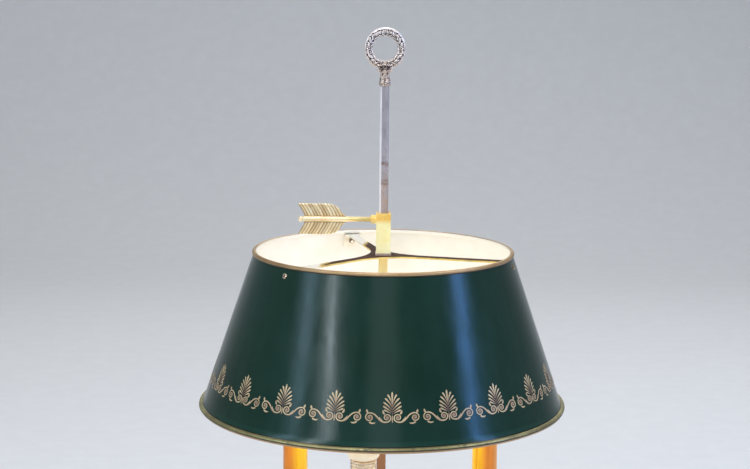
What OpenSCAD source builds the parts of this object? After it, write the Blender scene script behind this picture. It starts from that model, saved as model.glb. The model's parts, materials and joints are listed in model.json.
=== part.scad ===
// Bouillotte lamp: three candle lights under a tole shade that slides on a square rod.
// Millimetres, +Z up. The origin is on the rod's axis, on the surface that the lamp stands on.
// Front is -Y. Angles are counted from +X towards +Y.

/* [Base] */
// Outer diameter of the foot moulding
base_d = 210; // [190:1:250]
// Height of the rim that carries the gallery, above the felt
base_rim_h = 22; // [20:0.5:28]
// Wall of the base casting
base_wall = 2.6; // [2:0.1:3.4]
// Height of the column's seat on the bell, above the felt
bell_h = 34; // [32:0.5:44]
// Radius of the column's seat on the bell
bell_seat_r = 27; // [25:0.5:30]
// Thickness of the felt pad
felt_t = 2; // [1:0.1:4]
// Thickness of the cast iron ring under the tray
weight_t = 8; // [4:0.5:9]

/* [Gallery] */
// Height of the pierced gallery
gallery_h = 15; // [12:0.5:20]
// Wall of the gallery
gallery_wall = 1.6; // [1:0.1:2.4]
// Number of lancet piercings round the gallery
gallery_count = 36; // [12:1:40]
// Width of one lancet piercing
lancet_w = 7; // [4:0.5:8]

/* [Cord entry and switch] */
// Bore of the cord bush
bush_bore_d = 6.6; // [5:0.1:7]
// Outer diameter of the cord bush
bush_d = 9.6; // [8.8:0.1:10.4]
// Distance of the switch's axis from the inside of the rim
switch_inset = 22; // [19:0.5:26]
// Diameter of the switch body
switch_d = 22; // [18:0.5:25]
// Diameter of the switch knob
knob_d = 13; // [10:0.5:18]
// Height of the switch knob
knob_h = 11; // [8:0.5:16]

/* [Column] */
// Height of the column's foot
column_foot_h = 14; // [12:0.5:20]
// Diameter of the fluted shaft
shaft_d = 24; // [20:0.5:28]
// Height of the fluted shaft
shaft_h = 58; // [40:1:80]
// Number of flutes
flute_count = 12; // [8:1:14]
// Radius of one flute
flute_r = 2.2; // [1.6:0.1:2.4]
// Height of the capital
capital_h = 12; // [10:0.5:16]
// Diameter of the arm hub
hub_d = 34; // [32:0.5:40]
// Height of the arm hub
hub_h = 32; // [26:0.5:40]
// Outer diameter of the threaded stem tube
stem_d = 10; // [9:0.1:11]
// Bore of the threaded stem tube
stem_bore_d = 7; // [6:0.1:7.6]

/* [Rod] */
// Side of the square rod
rod_w = 9.4; // [8.4:0.1:10.4]
// Chamfer on the rod's edges
rod_chamfer = 0.8; // [0.3:0.1:1.2]
// Length of the square rod
rod_len = 437; // [410:1:480]
// Depth of the rod in its socket
rod_depth = 25; // [20:0.5:28]
// Height of the rod socket
socket_h = 51; // [48:0.5:58]

/* [Ring finial] */
// Outer diameter of the ring
ring_d = 43; // [36:0.5:50]
// Radial width of the ring's section
ring_w = 9.4; // [7:0.1:10]
// Thickness of the ring from front to back
ring_t = 7; // [5:0.1:8]
// Height of the calyx and neck below the ring
calyx_h = 16.7; // [15:0.1:20]
// Largest diameter of the calyx
calyx_d = 12.6; // [12:0.1:15]

/* [Collar and arrow screw] */
// Outside of the square collar
collar_w = 15; // [14:0.1:17]
// Height of the collar
collar_h = 43.5; // [34:0.5:50]
// Clearance between the rod and the collar on each side
collar_gap = 0.3; // [0.2:0.05:0.5]
// Diameter of the arrow's shaft, which is the screw
arrow_d = 5.1; // [4.6:0.1:6.4]
// Length of the arrow from the axis of the rod to the nock's end
arrow_reach = 88; // [80:0.5:100]
// Length of the vanes along the shaft
vane_len = 49; // [40:0.5:54]
// Height of one vane above the arrow's axis
vane_h = 16; // [12:0.5:18]
// Thickness of the vanes
vane_t = 2.6; // [1.8:0.1:3.2]
// Number of barbs on one vane
barb_count = 10; // [6:1:12]

/* [Shade] */
// Diameter of the top rim, between the centres of its bead
shade_top_d = 266; // [252:1:276]
// Diameter of the bottom rim, between the centres of its bead
shade_bottom_d = 376; // [370:1:396]
// Height between the two rims
shade_h = 159; // [150:1:168]
// Wall of the shade
shade_wall = 0.6; // [0.5:0.1:1.2]
// Diameter of the rolled bead on the top rim
top_bead_d = 4.6; // [3.4:0.1:6]
// Diameter of the rolled bead on the bottom rim
bottom_bead_d = 5.6; // [4:0.1:7]
// Height of the outward turn above the bottom rim
hem_h = 9; // [6:0.5:14]
// How far the hem turns out past the straight wall
hem_out = 4; // [2:0.5:6]
// Height of the top rim above the surface, where the shade is clamped at rest
shade_z = 444; // [438:1:452]

/* [Spider] */
// Thickness of the spider plate
spider_t = 2; // [1.4:0.1:3]
// Width of a spider arm
spider_arm_w = 9.5; // [7:0.5:12]
// Radius of the concave edge between two arms
spider_fillet_r = 64; // [44:1:70]
// Depth of the top rim above the shade's screws
screw_drop = 9; // [8:0.5:12]
// Diameter of the shade screws
shade_screw_d = 3; // [2.5:0.1:3.4]

/* [Lights] */
// Distance of the lights from the rod's axis
light_r = 120; // [108:1:124]
// Azimuth of the front light
light_azimuth = -98.6; // [-120:0.1:-60]
// Outer diameter of the arm tubes
arm_d = 9; // [8:0.1:10.5]
// Bore of the arm tubes
arm_bore_d = 5.4; // [4.6:0.1:6]
// Radius of the arm's first bend
arm_bend_r = 22; // [18:0.5:26]
// Slope of the arm between its two bends
arm_slope = 70; // [60:1:78]
// Length of the straight between the two bends
arm_straight = 3; // [2:0.5:4]
// Diameter of the drip pans
pan_d = 66; // [56:1:74]
// Diameter of the candle cups
cup_d = 34; // [31:0.5:38]
// Height of the candle cups
cup_h = 27; // [25:0.5:34]
// Outer diameter of the candle sleeves
sleeve_d = 26.6; // [26:0.1:28]
// Length of the candle sleeves
sleeve_h = 84.5; // [72:0.5:90]
// Wall of the candle sleeves
sleeve_wall = 1; // [0.8:0.1:1.2]

/* [Lampholders and bulbs] */
// Diameter of the lampholder's ribbed skirt
skirt_d = 26; // [25.6:0.1:28]
// Height of the skirt above the sleeve
skirt_h = 15; // [12:0.5:18]
// Diameter of the bulb's screw cap
cap_d = 13.9; // [13.4:0.1:14.4]
// Length of the bulb's screw cap
cap_h = 20; // [18:0.5:24]
// Diameter of the bulb's bowl-shaped base
bowl_d = 32; // [28:0.5:34]
// Height of the bulb's bowl-shaped base
bowl_h = 13; // [11:0.5:16]
// Largest diameter of the bulb's glass
glass_d = 37; // [35:0.5:39]
// Height of the bulb above its holder
bulb_h = 78; // [70:1:84]

/* [Hidden] */
$fn = 96;

// Clearances: a screwed or slipped fit between fixed pieces, and a turning fit
fit_gap = 0.1;
turn_gap = 0.05;
seat_gap = 0.3;

// Heights of the base
base_z = felt_t;
base_r = base_d / 2;
foot_bead_r = 3;
tray_z = base_z + 14.6;
tray_under_z = tray_z - base_wall;
rim_z = base_z + base_rim_h;
rim_out_r = base_r - 12;
rim_in_r = base_r - 17;
switch_r = rim_in_r - switch_inset;
bell_foot_r = bell_seat_r + 16;
bell_z = base_z + bell_h;
bell_plate_t = 4;
gallery_r = (rim_out_r + rim_in_r) / 2;
rail_r = 1.7;
rail_h = 2;
post_d = gallery_wall + 0.9;
panel_gap = 1;

// Cord bush and switch
bush_z = base_z + bush_d / 2 + 1.6;
bush_flange_d = bush_d + 3;
bush_flange_t = 1.5;
bush_out_r = base_r - 3;
bush_in_r = base_r - 16;
switch_body_h = 10;
switch_floor_t = 3;
switch_thread_d = 9.6;
switch_shaft_d = 5;
switch_nut_h = 2.4;
switch_neck_h = 4.4;

// Heights of the column
shaft_z = bell_z + column_foot_h;
capital_z = shaft_z + shaft_h;
hub_z = capital_z + capital_h;
socket_z = hub_z + hub_h;
socket_top_z = socket_z + socket_h;
stem_hole_d = stem_d + 2 * fit_gap;
stem_bottom_z = bell_z - 18;
stem_thread_h = 14;
stem_top_z = socket_z + stem_thread_h;
hub_wall = 4;
hub_floor_t = 3;
washer_d = 22;
washer_t = 1.5;
stem_nut_h = 5;

// Rod, its set screw and the finial
set_screw_d = 3.4;
set_screw_drop = 12;
rod_bottom_z = socket_top_z - rod_depth;
rod_top_z = rod_bottom_z + rod_len;
stud_d = 5;
stud_h = 9;
ring_z = rod_top_z + calyx_h + ring_d / 2;

// Arms, in a plane through the axis: out from the hub, down, then up to the light
arm_r0 = hub_d / 2 + 2;
arm_z0 = hub_z + hub_h / 2 + 1;
arm_mid_r = arm_r0 + arm_bend_r * sin(arm_slope);
arm_mid_z = arm_z0 - arm_bend_r * (1 - cos(arm_slope));
arm_low_r = arm_mid_r + arm_straight * cos(arm_slope);
arm_low_z = arm_mid_z - arm_straight * sin(arm_slope);
arm_sweep_r = (light_r - arm_low_r) / (1 + sin(arm_slope));
arm_end_z = arm_low_z + arm_sweep_r * cos(arm_slope);
boss_d = 15;
boss_h = 9;
knop_d = arm_d + 4;
boss_z = arm_end_z - 1;
pan_z = boss_z + boss_h;
pan_t = 1.2;
cup_z = pan_z + pan_t;
cup_floor_t = 14;
cup_floor_z = cup_z + cup_floor_t;
sleeve_z = cup_floor_z;
sleeve_top_z = sleeve_z + sleeve_h;
sleeve_bore_d = sleeve_d - 2 * sleeve_wall;
tube_d = 10;
cup_nut_h = 4;
cup_nut_across = tube_d + 5;
tube_bore_d = 6;
tube_hole_d = tube_d + 2 * fit_gap;
tube_bottom_z = boss_z + 0.5;
holder_d = sleeve_bore_d - 2 * seat_gap;
holder_h = 38;
holder_z = sleeve_top_z - holder_h;
holder_floor_t = 6;
holder_top_z = sleeve_top_z + skirt_h;
tube_top_z = holder_z + holder_floor_t - 0.5;
contact_z = holder_top_z - cap_h - 4.5;
light_angles = [light_azimuth, light_azimuth + 120, light_azimuth + 240];

// Shade, with its straight wall as a cone from the top rim to the hem
top_r = shade_top_d / 2;
bottom_r = shade_bottom_d / 2;
shade_bottom_z = shade_z - shade_h;
wall_bottom_z = shade_bottom_z + hem_h;
wall_bottom_r = bottom_r - hem_out;
wall_slope = (wall_bottom_r - top_r) / (shade_z - wall_bottom_z);
wall_angle = atan(wall_slope);
screw_z = shade_z - screw_drop;
spider_z = shade_z - top_bead_d / 2 - 0.7 - spider_t;
lug_t = 2;
lug_gap = 0.1;
lug_w = 16;
lug_h = 14;
spider_angles = [-15, 105, 225];
collar_z = spider_z + spider_t;
collar_foot_w = collar_w + 1.4;
collar_foot_h = 2;
screw_axis_z = collar_z + collar_h - 7;
screw_boss_d = 9.2;
screw_boss_l = 5.5;

wire_d = 3.4;
main_wire_d = 4.6;
lead_bend_r = 9;
lead_z = stem_bottom_z - lead_bend_r - 1;

brass = "#c9a14a";
dark_brass = "#8a6a2e";
steel = "#9a9aa2";
tole_green = "#123f35";
candle = "#e39a28";
cream = "#efe6c8";

// A hollow arc into a flat ends here, a little short of 270, so that it leaves no hair-thin step
arc_stop_angle = 263;

function arc(cx, cy, r, from, to, steps = 8) =
    [for (i = [0 : steps]) let (a = from + (to - from) * i / steps) [cx + r * cos(a), cy + r * sin(a)]];

module turned(points) { rotate_extrude() polygon(points); }

module pipe(d, bore, h) {
    difference() {
        cylinder(d = d, h = h);
        translate([0, 0, -1]) cylinder(d = bore, h = h + 2);
    }
}

module hex_nut(across, bore, h) {
    difference() {
        cylinder(d = across / cos(30), h = h, $fn = 6);
        translate([0, 0, -1]) cylinder(d = bore, h = h + 2);
    }
}

module at_light(i) { rotate([0, 0, light_angles[i]]) translate([light_r, 0, 0]) children(); }

// ---------- base ----------

module felt_pad() {
    color("#2f4a35") pipe(base_d - 2 * foot_bead_r - 2, 2 * stem_d, felt_t);
}

module base_profile() {
    cove_r = 9;
    cove_z = base_z + 2 * foot_bead_r + 1.5 + cove_r;
    cove_x = base_r - 5;
    bell_r = 15;
    under_r = bell_r + base_wall;
    bell_arc_z = base_z + bell_h - 2;
    bell_low_z = bell_arc_z - bell_r;
    under_top_z = bell_z - bell_plate_t;
    under_start = 180 + asin((bell_arc_z - under_top_z) / under_r);
    polygon(concat(
        [[base_r - 7, base_z]],
        arc(base_r - foot_bead_r, base_z + foot_bead_r, foot_bead_r, -90, 90),
        [[cove_x, base_z + 2 * foot_bead_r]],
        arc(cove_x, cove_z, cove_r, 270, 180),
        [[rim_out_r, cove_z], [rim_out_r, rim_z], [rim_in_r, rim_z]],
        arc(rim_in_r - 3, tray_z + 3, 3, 0, -90, 4),
        [[bell_foot_r + 3, tray_z]],
        [[bell_foot_r + 1, max(bell_low_z, tray_z + 0.6)]],
        arc(bell_foot_r, bell_arc_z, bell_r, 270, 180),
        [[bell_seat_r, bell_arc_z], [bell_seat_r, bell_z], [stem_hole_d / 2, bell_z]],
        [[stem_hole_d / 2, under_top_z]],
        arc(bell_foot_r, bell_arc_z, under_r, under_start, arc_stop_angle),
        [[bell_foot_r + 3, tray_under_z], [rim_in_r - 3, tray_under_z]],
        arc(cove_x, cove_z, cove_r + base_wall, 204, arc_stop_angle)
    ));
}

module bush_place() { translate([0, 0, bush_z]) rotate([-90, 0, 0]) children(); }

module base_dish() {
    color(brass) difference() {
        rotate_extrude() base_profile();
        bush_place() {
            translate([0, 0, bush_in_r - 4]) cylinder(d = bush_d + 2 * fit_gap, h = 40);
            translate([0, 0, bush_out_r]) cylinder(d = bush_flange_d + 1, h = 20);
        }
        switch_place() translate([0, 0, tray_under_z - 2])
            cylinder(d = switch_thread_d + 2 * fit_gap, h = base_wall + 8);
    }
}

module cord_bush() {
    color("#3a2a1c") bush_place() difference() {
        union() {
            translate([0, 0, bush_in_r]) cylinder(d = bush_d, h = bush_out_r - bush_in_r + 0.1);
            translate([0, 0, bush_out_r]) cylinder(d = bush_flange_d, h = bush_flange_t);
        }
        translate([0, 0, bush_in_r - 1]) cylinder(d = bush_bore_d, h = 40);
    }
}

module base_weight() {
    inner_r = bell_foot_r + 5;
    color("#3b3b3e") difference() {
        translate([0, 0, tray_under_z - weight_t]) pipe(2 * (rim_in_r - 5), 2 * inner_r, weight_t);
        switch_place() cylinder(d = switch_d + 3, h = tray_z);
        translate([-switch_d / 2 - 1.5, -switch_r, 0]) cube([switch_d + 3, switch_r, tray_z]);
        translate([-bush_flange_d / 2, inner_r - 2, 0]) cube([bush_flange_d, base_r, tray_z]);
    }
}

module lancet(w, h) {
    lens_r = (h * h + w * w) / (4 * w);
    intersection() {
        translate([lens_r - w / 2, 0]) circle(r = lens_r);
        translate([w / 2 - lens_r, 0]) circle(r = lens_r);
    }
}

// One flat panel of the gallery, with a lancet and an eye at each corner, sunk into both rails
module gallery_panel() {
    width = 2 * gallery_r * tan(180 / gallery_count) - panel_gap;
    panel_h = gallery_h - 2 * rail_h;
    lancet_h = panel_h - 2;
    translate([gallery_r - gallery_wall / 2, 0, rail_h + panel_h / 2])
        rotate([90, 0, 90]) linear_extrude(gallery_wall) difference() {
            square([width, panel_h + rail_h], center = true);
            lancet(lancet_w, lancet_h);
            for (x = [-1, 1]) for (y = [-1, 1])
                translate([x * lancet_w * 0.62, y * lancet_h * 0.36]) circle(d = lancet_w * 0.3);
        }
}

module gallery() {
    step = 360 / gallery_count;
    rail_d = 2 * gallery_r;
    color(brass) translate([0, 0, rim_z]) union() {
        pipe(rail_d + 2 * rail_r, rail_d - 2 * rail_r, rail_h);
        translate([0, 0, gallery_h - rail_h]) pipe(rail_d + 2 * rail_r, rail_d - 2 * rail_r, rail_h);
        for (i = [0 : gallery_count - 1]) {
            rotate([0, 0, i * step]) gallery_panel();
            // A round post covers the corner between two panels
            rotate([0, 0, (i + 0.5) * step]) translate([gallery_r, 0, rail_h / 2])
                cylinder(d = post_d, h = gallery_h - rail_h, $fn = 24);
        }
    }
}

module switch_place() { translate([0, -switch_r, 0]) children(); }

module switch_body() {
    color("#2b2622") switch_place() difference() {
        union() {
            translate([0, 0, tray_under_z - switch_body_h]) cylinder(d = switch_d, h = switch_body_h);
            translate([0, 0, tray_under_z - 1])
                cylinder(d = switch_thread_d, h = 1 + base_wall + switch_neck_h);
        }
        translate([0, 0, tray_under_z - switch_body_h + switch_floor_t])
            cylinder(d = switch_shaft_d + 2 * turn_gap, h = 40);
    }
}

module switch_nut() {
    nut_d = switch_thread_d + 4.4;
    color(brass) switch_place() translate([0, 0, tray_z]) difference() {
        cylinder(d = nut_d, h = switch_nut_h);
        translate([0, 0, -1]) cylinder(d = switch_thread_d + fit_gap, h = switch_nut_h + 2);
        for (a = [0 : 15 : 345]) rotate([0, 0, a])
            translate([nut_d / 2 + 0.3, 0, -1]) cylinder(d = 1.2, h = switch_nut_h + 2, $fn = 16);
    }
}

module switch_knob() {
    neck_z = tray_z + switch_neck_h + seat_gap;
    shaft_foot_z = tray_under_z - switch_body_h + switch_floor_t + seat_gap;
    color(brass) switch_place() union() {
        translate([0, 0, shaft_foot_z]) cylinder(d = switch_shaft_d, h = neck_z - shaft_foot_z + 0.5);
        translate([0, 0, neck_z]) difference() {
            turned(concat(
                [[0, 0], [knob_d * 0.4, 0], [knob_d * 0.34, knob_h * 0.3]],
                arc(knob_d / 2 - 2, knob_h - 3, 2, -60, 60, 6),
                [[knob_d * 0.2, knob_h], [0, knob_h]]));
            for (a = [0 : 20 : 340]) rotate([0, 0, a])
                translate([knob_d / 2 + 0.5, 0, knob_h * 0.4]) cylinder(d = 1.6, h = knob_h, $fn = 16);
        }
    }
}

// ---------- column ----------

module stem_tube() {
    color(steel) difference() {
        translate([0, 0, stem_bottom_z]) pipe(stem_d, stem_bore_d, stem_top_z - stem_bottom_z);
        for (a = light_angles) rotate([0, 0, a]) translate([0, 0, arm_z0]) rotate([0, 90, 0])
            cylinder(d = arm_bore_d, h = stem_d);
    }
}

module stem_washer() {
    color(steel) translate([0, 0, bell_z - bell_plate_t - washer_t]) pipe(washer_d, stem_hole_d, washer_t);
}

module stem_nut() {
    color(steel) translate([0, 0, bell_z - bell_plate_t - washer_t - stem_nut_h])
        hex_nut(stem_d + 6, stem_hole_d, stem_nut_h);
}

// The twin lead from the arms' joint in the hub, down the tube and across to the switch
module main_wire() {
    color("#5a4632") union() {
        translate([0, 0, lead_z + lead_bend_r])
            cylinder(d = main_wire_d, h = arm_z0 - 8 - lead_z - lead_bend_r);
        rotate([0, 0, -90]) translate([lead_bend_r, 0, lead_z + lead_bend_r])
            rotate([90, 0, 0]) rotate([0, 0, 180]) rotate_extrude(angle = 90)
                translate([lead_bend_r, 0]) circle(d = main_wire_d, $fn = 32);
        translate([0, -lead_bend_r, lead_z]) rotate([90, 0, 0])
            cylinder(d = main_wire_d, h = switch_r - switch_d / 2 - lead_bend_r - seat_gap);
    }
}

module column_foot() {
    r = bell_seat_r - 1;
    neck_r = shaft_d / 2 + 1.5;
    cove = column_foot_h - 8;
    color(brass) translate([0, 0, bell_z]) turned(concat(
        [[stem_hole_d / 2, 0]],
        arc(r - 2.5, 2.5, 2.5, -90, 90),
        [[r - 4, 5], [r - 4, 6]],
        arc(r - 4.5, 6 + cove, cove, arc_stop_angle, 180, 6),
        [[neck_r + 1, 6 + cove], [neck_r + 1, column_foot_h - 1], [neck_r, column_foot_h]],
        [[stem_hole_d / 2, column_foot_h]]));
}

module column_shaft() {
    color(brass) translate([0, 0, shaft_z]) linear_extrude(shaft_h) difference() {
        circle(d = shaft_d);
        circle(d = stem_hole_d);
        for (i = [0 : flute_count - 1]) rotate(i * 360 / flute_count)
            translate([shaft_d / 2 + flute_r * 0.35, 0]) circle(r = flute_r, $fn = 32);
    }
}

module column_capital() {
    r = hub_d / 2;
    neck_r = shaft_d / 2 + 1;
    color(brass) translate([0, 0, capital_z]) turned(concat(
        [[stem_hole_d / 2, 0]],
        arc(neck_r, 1.5, 1.5, -90, 90, 6),
        [[neck_r - 0.6, 3], [neck_r - 0.6, 5]],
        arc(r - 1, capital_h, capital_h - 5, 250, 190, 6),
        [[r, capital_h - 2.4], [r, capital_h], [stem_hole_d / 2, capital_h]]));
}

module arm_hub() {
    cavity_r = hub_d / 2 - hub_wall;
    color(brass) difference() {
        union() {
            translate([0, 0, hub_z]) turned(concat(
                [[0, 0], [hub_d / 2, 0], [hub_d / 2, 2]],
                [[hub_d / 2 - 1.2, 3], [hub_d / 2 - 1.2, hub_h - 3]],
                [[hub_d / 2, hub_h - 2], [hub_d / 2, hub_h], [0, hub_h]]));
            for (a = light_angles) rotate([0, 0, a]) translate([0, 0, arm_z0]) rotate([0, 90, 0])
                cylinder(d = arm_d + 4, h = arm_r0);
        }
        translate([0, 0, hub_z + hub_floor_t]) cylinder(r = cavity_r, h = hub_h);
        translate([0, 0, hub_z - 1]) cylinder(d = stem_hole_d, h = hub_h);
        for (a = light_angles) rotate([0, 0, a]) translate([0, 0, arm_z0]) rotate([0, 90, 0])
            cylinder(d = arm_bore_d, h = arm_r0 + 5);
    }
}

// A turned vase: the stem tube screws in below, the square rod stands in its mouth
module rod_socket() {
    r = hub_d / 2;
    lip_r = rod_w * 0.72 + 2.4;
    belly_z = 22;
    color(brass) translate([0, 0, socket_z]) difference() {
        turned(concat(
            [[0, 0], [r, 0], [r, 2], [r - 4, 4]],
            arc(r - 4, 8, 4, 250, 180, 4),
            [[r - 8, 10]],
            arc(0, belly_z, r - 3, -35, 30, 8),
            [[lip_r - 1, belly_z + 12], [lip_r - 1.4, socket_h - 8]],
            arc(lip_r - 1.5, socket_h - 3, 1.5, -90, 90, 6),
            [[lip_r - 1.2, socket_h], [0, socket_h]]));
        translate([0, 0, -1]) cylinder(d = stem_hole_d, h = stem_thread_h + 1.4);
        translate([0, 0, socket_h - rod_depth]) linear_extrude(rod_depth + 1)
            square(rod_w + 2 * fit_gap, center = true);
        translate([0, 0, socket_h - set_screw_drop]) rotate([-90, 0, 0])
            cylinder(d = set_screw_d + 2 * fit_gap, h = 20);
    }
}

module rod_set_screw() {
    reach = rod_w * 0.72 + 1 - rod_w / 2 + 0.6;
    color(steel) translate([0, rod_w / 2 + fit_gap, socket_top_z - set_screw_drop])
        rotate([-90, 0, 0]) difference() {
        cylinder(d = set_screw_d, h = reach);
        translate([-set_screw_d, -0.3, reach - 0.8]) cube([2 * set_screw_d, 0.6, 2]);
    }
}

// ---------- rod, finial, collar and arrow ----------

module rod_section() {
    h = rod_w / 2;
    c = h - rod_chamfer;
    polygon([[h, -c], [h, c], [c, h], [-c, h], [-h, c], [-h, -c], [-c, -h], [c, -h]]);
}

module rod() {
    color(steel) union() {
        translate([0, 0, rod_bottom_z]) linear_extrude(rod_len) rod_section();
        translate([0, 0, rod_top_z - 1]) cylinder(d = stud_d, h = stud_h + 1);
    }
}

module ring_finial() {
    mid_r = (ring_d - ring_w) / 2;
    neck_r = calyx_d * 0.4;
    color("#b7a78d") difference() {
        union() {
            translate([0, 0, ring_z]) rotate([90, 0, 0]) intersection() {
                rotate_extrude() translate([mid_r, 0]) circle(d = ring_w, $fn = 48);
                cylinder(d = 2 * ring_d, h = ring_t, center = true);
            }
            translate([0, 0, rod_top_z]) turned(concat(
                [[0, 0], [calyx_d * 0.44, 0]],
                arc(calyx_d / 2 - 2.2, 3, 2.2, -50, 60, 6),
                [[neck_r, calyx_h * 0.62], [neck_r + 0.6, calyx_h * 0.75]],
                [[neck_r + 1.6, calyx_h + 1.4], [0, calyx_h + 1.4]]));
            for (side = [-1, 1]) translate([side * calyx_d * 0.47, 0, rod_top_z + calyx_h * 0.87])
                sphere(r = 1.7, $fn = 32);
        }
        translate([0, 0, rod_top_z - 1]) cylinder(d = stud_d + 2 * fit_gap, h = stud_h + 1.5);
    }
}

module collar() {
    color(brass) difference() {
        union() {
            translate([-collar_w / 2, -collar_w / 2, collar_z]) cube([collar_w, collar_w, collar_h]);
            translate([-collar_foot_w / 2, -collar_foot_w / 2, collar_z])
                cube([collar_foot_w, collar_foot_w, collar_foot_h]);
            translate([-collar_w / 2 - screw_boss_l, 0, screw_axis_z]) rotate([0, 90, 0])
                cylinder(d = screw_boss_d, h = screw_boss_l + 1);
        }
        translate([0, 0, collar_z - 1]) linear_extrude(collar_h + 2)
            square(rod_w + 2 * collar_gap, center = true);
        translate([-collar_w, 0, screw_axis_z]) rotate([0, 90, 0])
            cylinder(d = arrow_d + 2 * turn_gap, h = collar_w);
    }
}

// One vane: a foot that runs out along the shaft, a round front, a straight back and a notched end
module vane() {
    notch_x = arrow_reach - 7;
    tip_x = arrow_reach - 0.6;
    front_x = arrow_reach - vane_len;
    difference() {
        rotate([90, 0, 0]) linear_extrude(vane_t, center = true) polygon(concat(
            [[-front_x + 5, 0], [-front_x + 5, arrow_d * 0.4], [-front_x + 2.5, arrow_d * 0.64]],
            arc(-front_x - vane_h, 0, vane_h, 24, 90),
            [[-tip_x + 9, vane_h], [-tip_x, vane_h - 1.2], [-notch_x, arrow_d * 0.6], [-notch_x, 0]]));
        for (i = [1 : barb_count]) for (side = [-1, 1])
            translate([-notch_x + i * (vane_len - 7) / (barb_count + 0.5), side * vane_t / 2, 0])
                rotate([0, -29, 0]) rotate([0, 0, 45]) translate([0, 0, arrow_d * 0.5])
                    linear_extrude(2 * vane_h) square(0.85, center = true);
    }
}

module arrow_screw() {
    tip_x = rod_w / 2 + seat_gap;
    nock_r = arrow_d / 2 + 0.3;
    color("#d8b765") translate([0, 0, screw_axis_z]) union() {
        translate([-tip_x, 0, 0]) rotate([0, -90, 0]) cylinder(d = arrow_d, h = arrow_reach - tip_x - nock_r);
        translate([-arrow_reach + nock_r, 0, 0]) sphere(r = nock_r);
        vane();
        mirror([0, 0, 1]) vane();
    }
}

// ---------- shade and spider ----------

function wall_r(z) = top_r + (shade_z - z) * wall_slope;

module shade_profile() {
    half = shade_wall / 2;
    hem_steps = 6;
    // The hem leaves the straight wall tangentially and turns out to the bead
    centre = concat([[top_r, shade_z]],
        [for (i = [0 : hem_steps]) let (t = i / hem_steps)
            [wall_bottom_r + hem_h * wall_slope * t + (hem_out - hem_h * wall_slope) * t * t,
             wall_bottom_z - hem_h * t]]);
    polygon(concat(
        [for (p = centre) [p[0] + half, p[1]]],
        [for (i = [len(centre) - 1 : -1 : 0]) [centre[i][0] - half, centre[i][1]]]));
}

module shade() {
    color(tole_green) difference() {
        union() {
            rotate_extrude($fn = 180) shade_profile();
            translate([0, 0, shade_z]) rotate_extrude($fn = 180)
                translate([top_r, 0]) circle(d = top_bead_d, $fn = 32);
            translate([0, 0, shade_bottom_z]) rotate_extrude($fn = 180)
                translate([bottom_r, 0]) circle(d = bottom_bead_d, $fn = 32);
        }
        at_shade_screws() translate([0, 0, -10]) cylinder(d = shade_screw_d + 4 * fit_gap, h = 20);
    }
}

// Places children at each shade screw, +Z along the wall's outward normal, 0 at mid wall
module at_shade_screws() {
    for (a = spider_angles) rotate([0, 0, a]) translate([wall_r(screw_z), 0, screw_z])
        rotate([0, 90 - wall_angle, 0]) children();
}

module spider_lug() {
    inner = shade_wall / 2 + lug_gap;
    top = spider_z + spider_t;
    low = top - lug_h;
    half_angle = asin(lug_w / 2 / top_r);
    rotate([0, 0, -half_angle]) rotate_extrude(angle = 2 * half_angle, $fn = 180) polygon([
        [wall_r(top) - inner, top], [wall_r(low) - inner, low],
        [wall_r(low) - inner - lug_t, low], [wall_r(top) - inner - lug_t, top]]);
}

module spider_outline() {
    half = spider_arm_w / 2;
    reach = wall_r(spider_z + spider_t) - shade_wall / 2 - lug_gap - lug_t / 2;
    centre_r = (spider_fillet_r + half) / sin(60);
    touch_r = centre_r * cos(60);
    end_r = 12;
    lug_half = lug_w / 2;
    for (a = spider_angles) rotate(a) {
        translate([0, -half]) square([reach, spider_arm_w]);
        // The end widens to the lug through a concave quarter round on each side
        difference() {
            translate([reach - end_r, -lug_half]) square([end_r - 1.5, lug_w]);
            for (side = [-1, 1]) translate([reach - end_r, side * (half + end_r)]) circle(r = end_r);
        }
        rotate(60) difference() {
            polygon([[0, 0], [touch_r * cos(60) + half * sin(60), -touch_r * sin(60) + half * cos(60)],
                     [centre_r, 0],
                     [touch_r * cos(60) + half * sin(60), touch_r * sin(60) - half * cos(60)]]);
            translate([centre_r, 0]) circle(r = spider_fillet_r);
        }
    }
}

module spider() {
    color(dark_brass) difference() {
        union() {
            translate([0, 0, spider_z]) linear_extrude(spider_t) spider_outline();
            for (a = spider_angles) rotate([0, 0, a]) spider_lug();
        }
        translate([0, 0, spider_z - 1]) linear_extrude(spider_t + 2)
            square(rod_w + 2 * collar_gap, center = true);
        at_shade_screws() translate([0, 0, -10]) cylinder(d = shade_screw_d + 4 * fit_gap, h = 20);
    }
}

module shade_screws() {
    head_d = shade_screw_d * 1.9;
    head_h = 1.4;
    shank = shade_wall + lug_gap + lug_t + 4;
    color("#b9b9bd") at_shade_screws() translate([0, 0, shade_wall / 2 + fit_gap]) difference() {
        union() {
            cylinder(d = head_d, h = head_h * 0.55);
            translate([0, 0, head_h * 0.55]) cylinder(d1 = head_d, d2 = head_d * 0.6, h = head_h * 0.45);
            translate([0, 0, -shank]) cylinder(d = shade_screw_d, h = shank + 0.2);
        }
        translate([-head_d, -0.35, head_h - 0.7]) cube([2 * head_d, 0.7, 2]);
    }
}

module shade_nuts() {
    nut_h = 2.2;
    color(steel) at_shade_screws() translate([0, 0, -shade_wall / 2 - lug_gap - lug_t - fit_gap - nut_h])
        hex_nut(5.5, shade_screw_d + fit_gap, nut_h);
}

// ---------- lights ----------

// Places children at the four joins along the arm's path, from the hub to the light
module at_arm_start() { translate([arm_r0, 0, arm_z0]) children(); }
module at_arm_middle() {
    translate([(arm_mid_r + arm_low_r) / 2, 0, (arm_mid_z + arm_low_z) / 2]) children();
}
module at_arm_end() { translate([light_r, 0, arm_end_z]) children(); }

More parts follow.
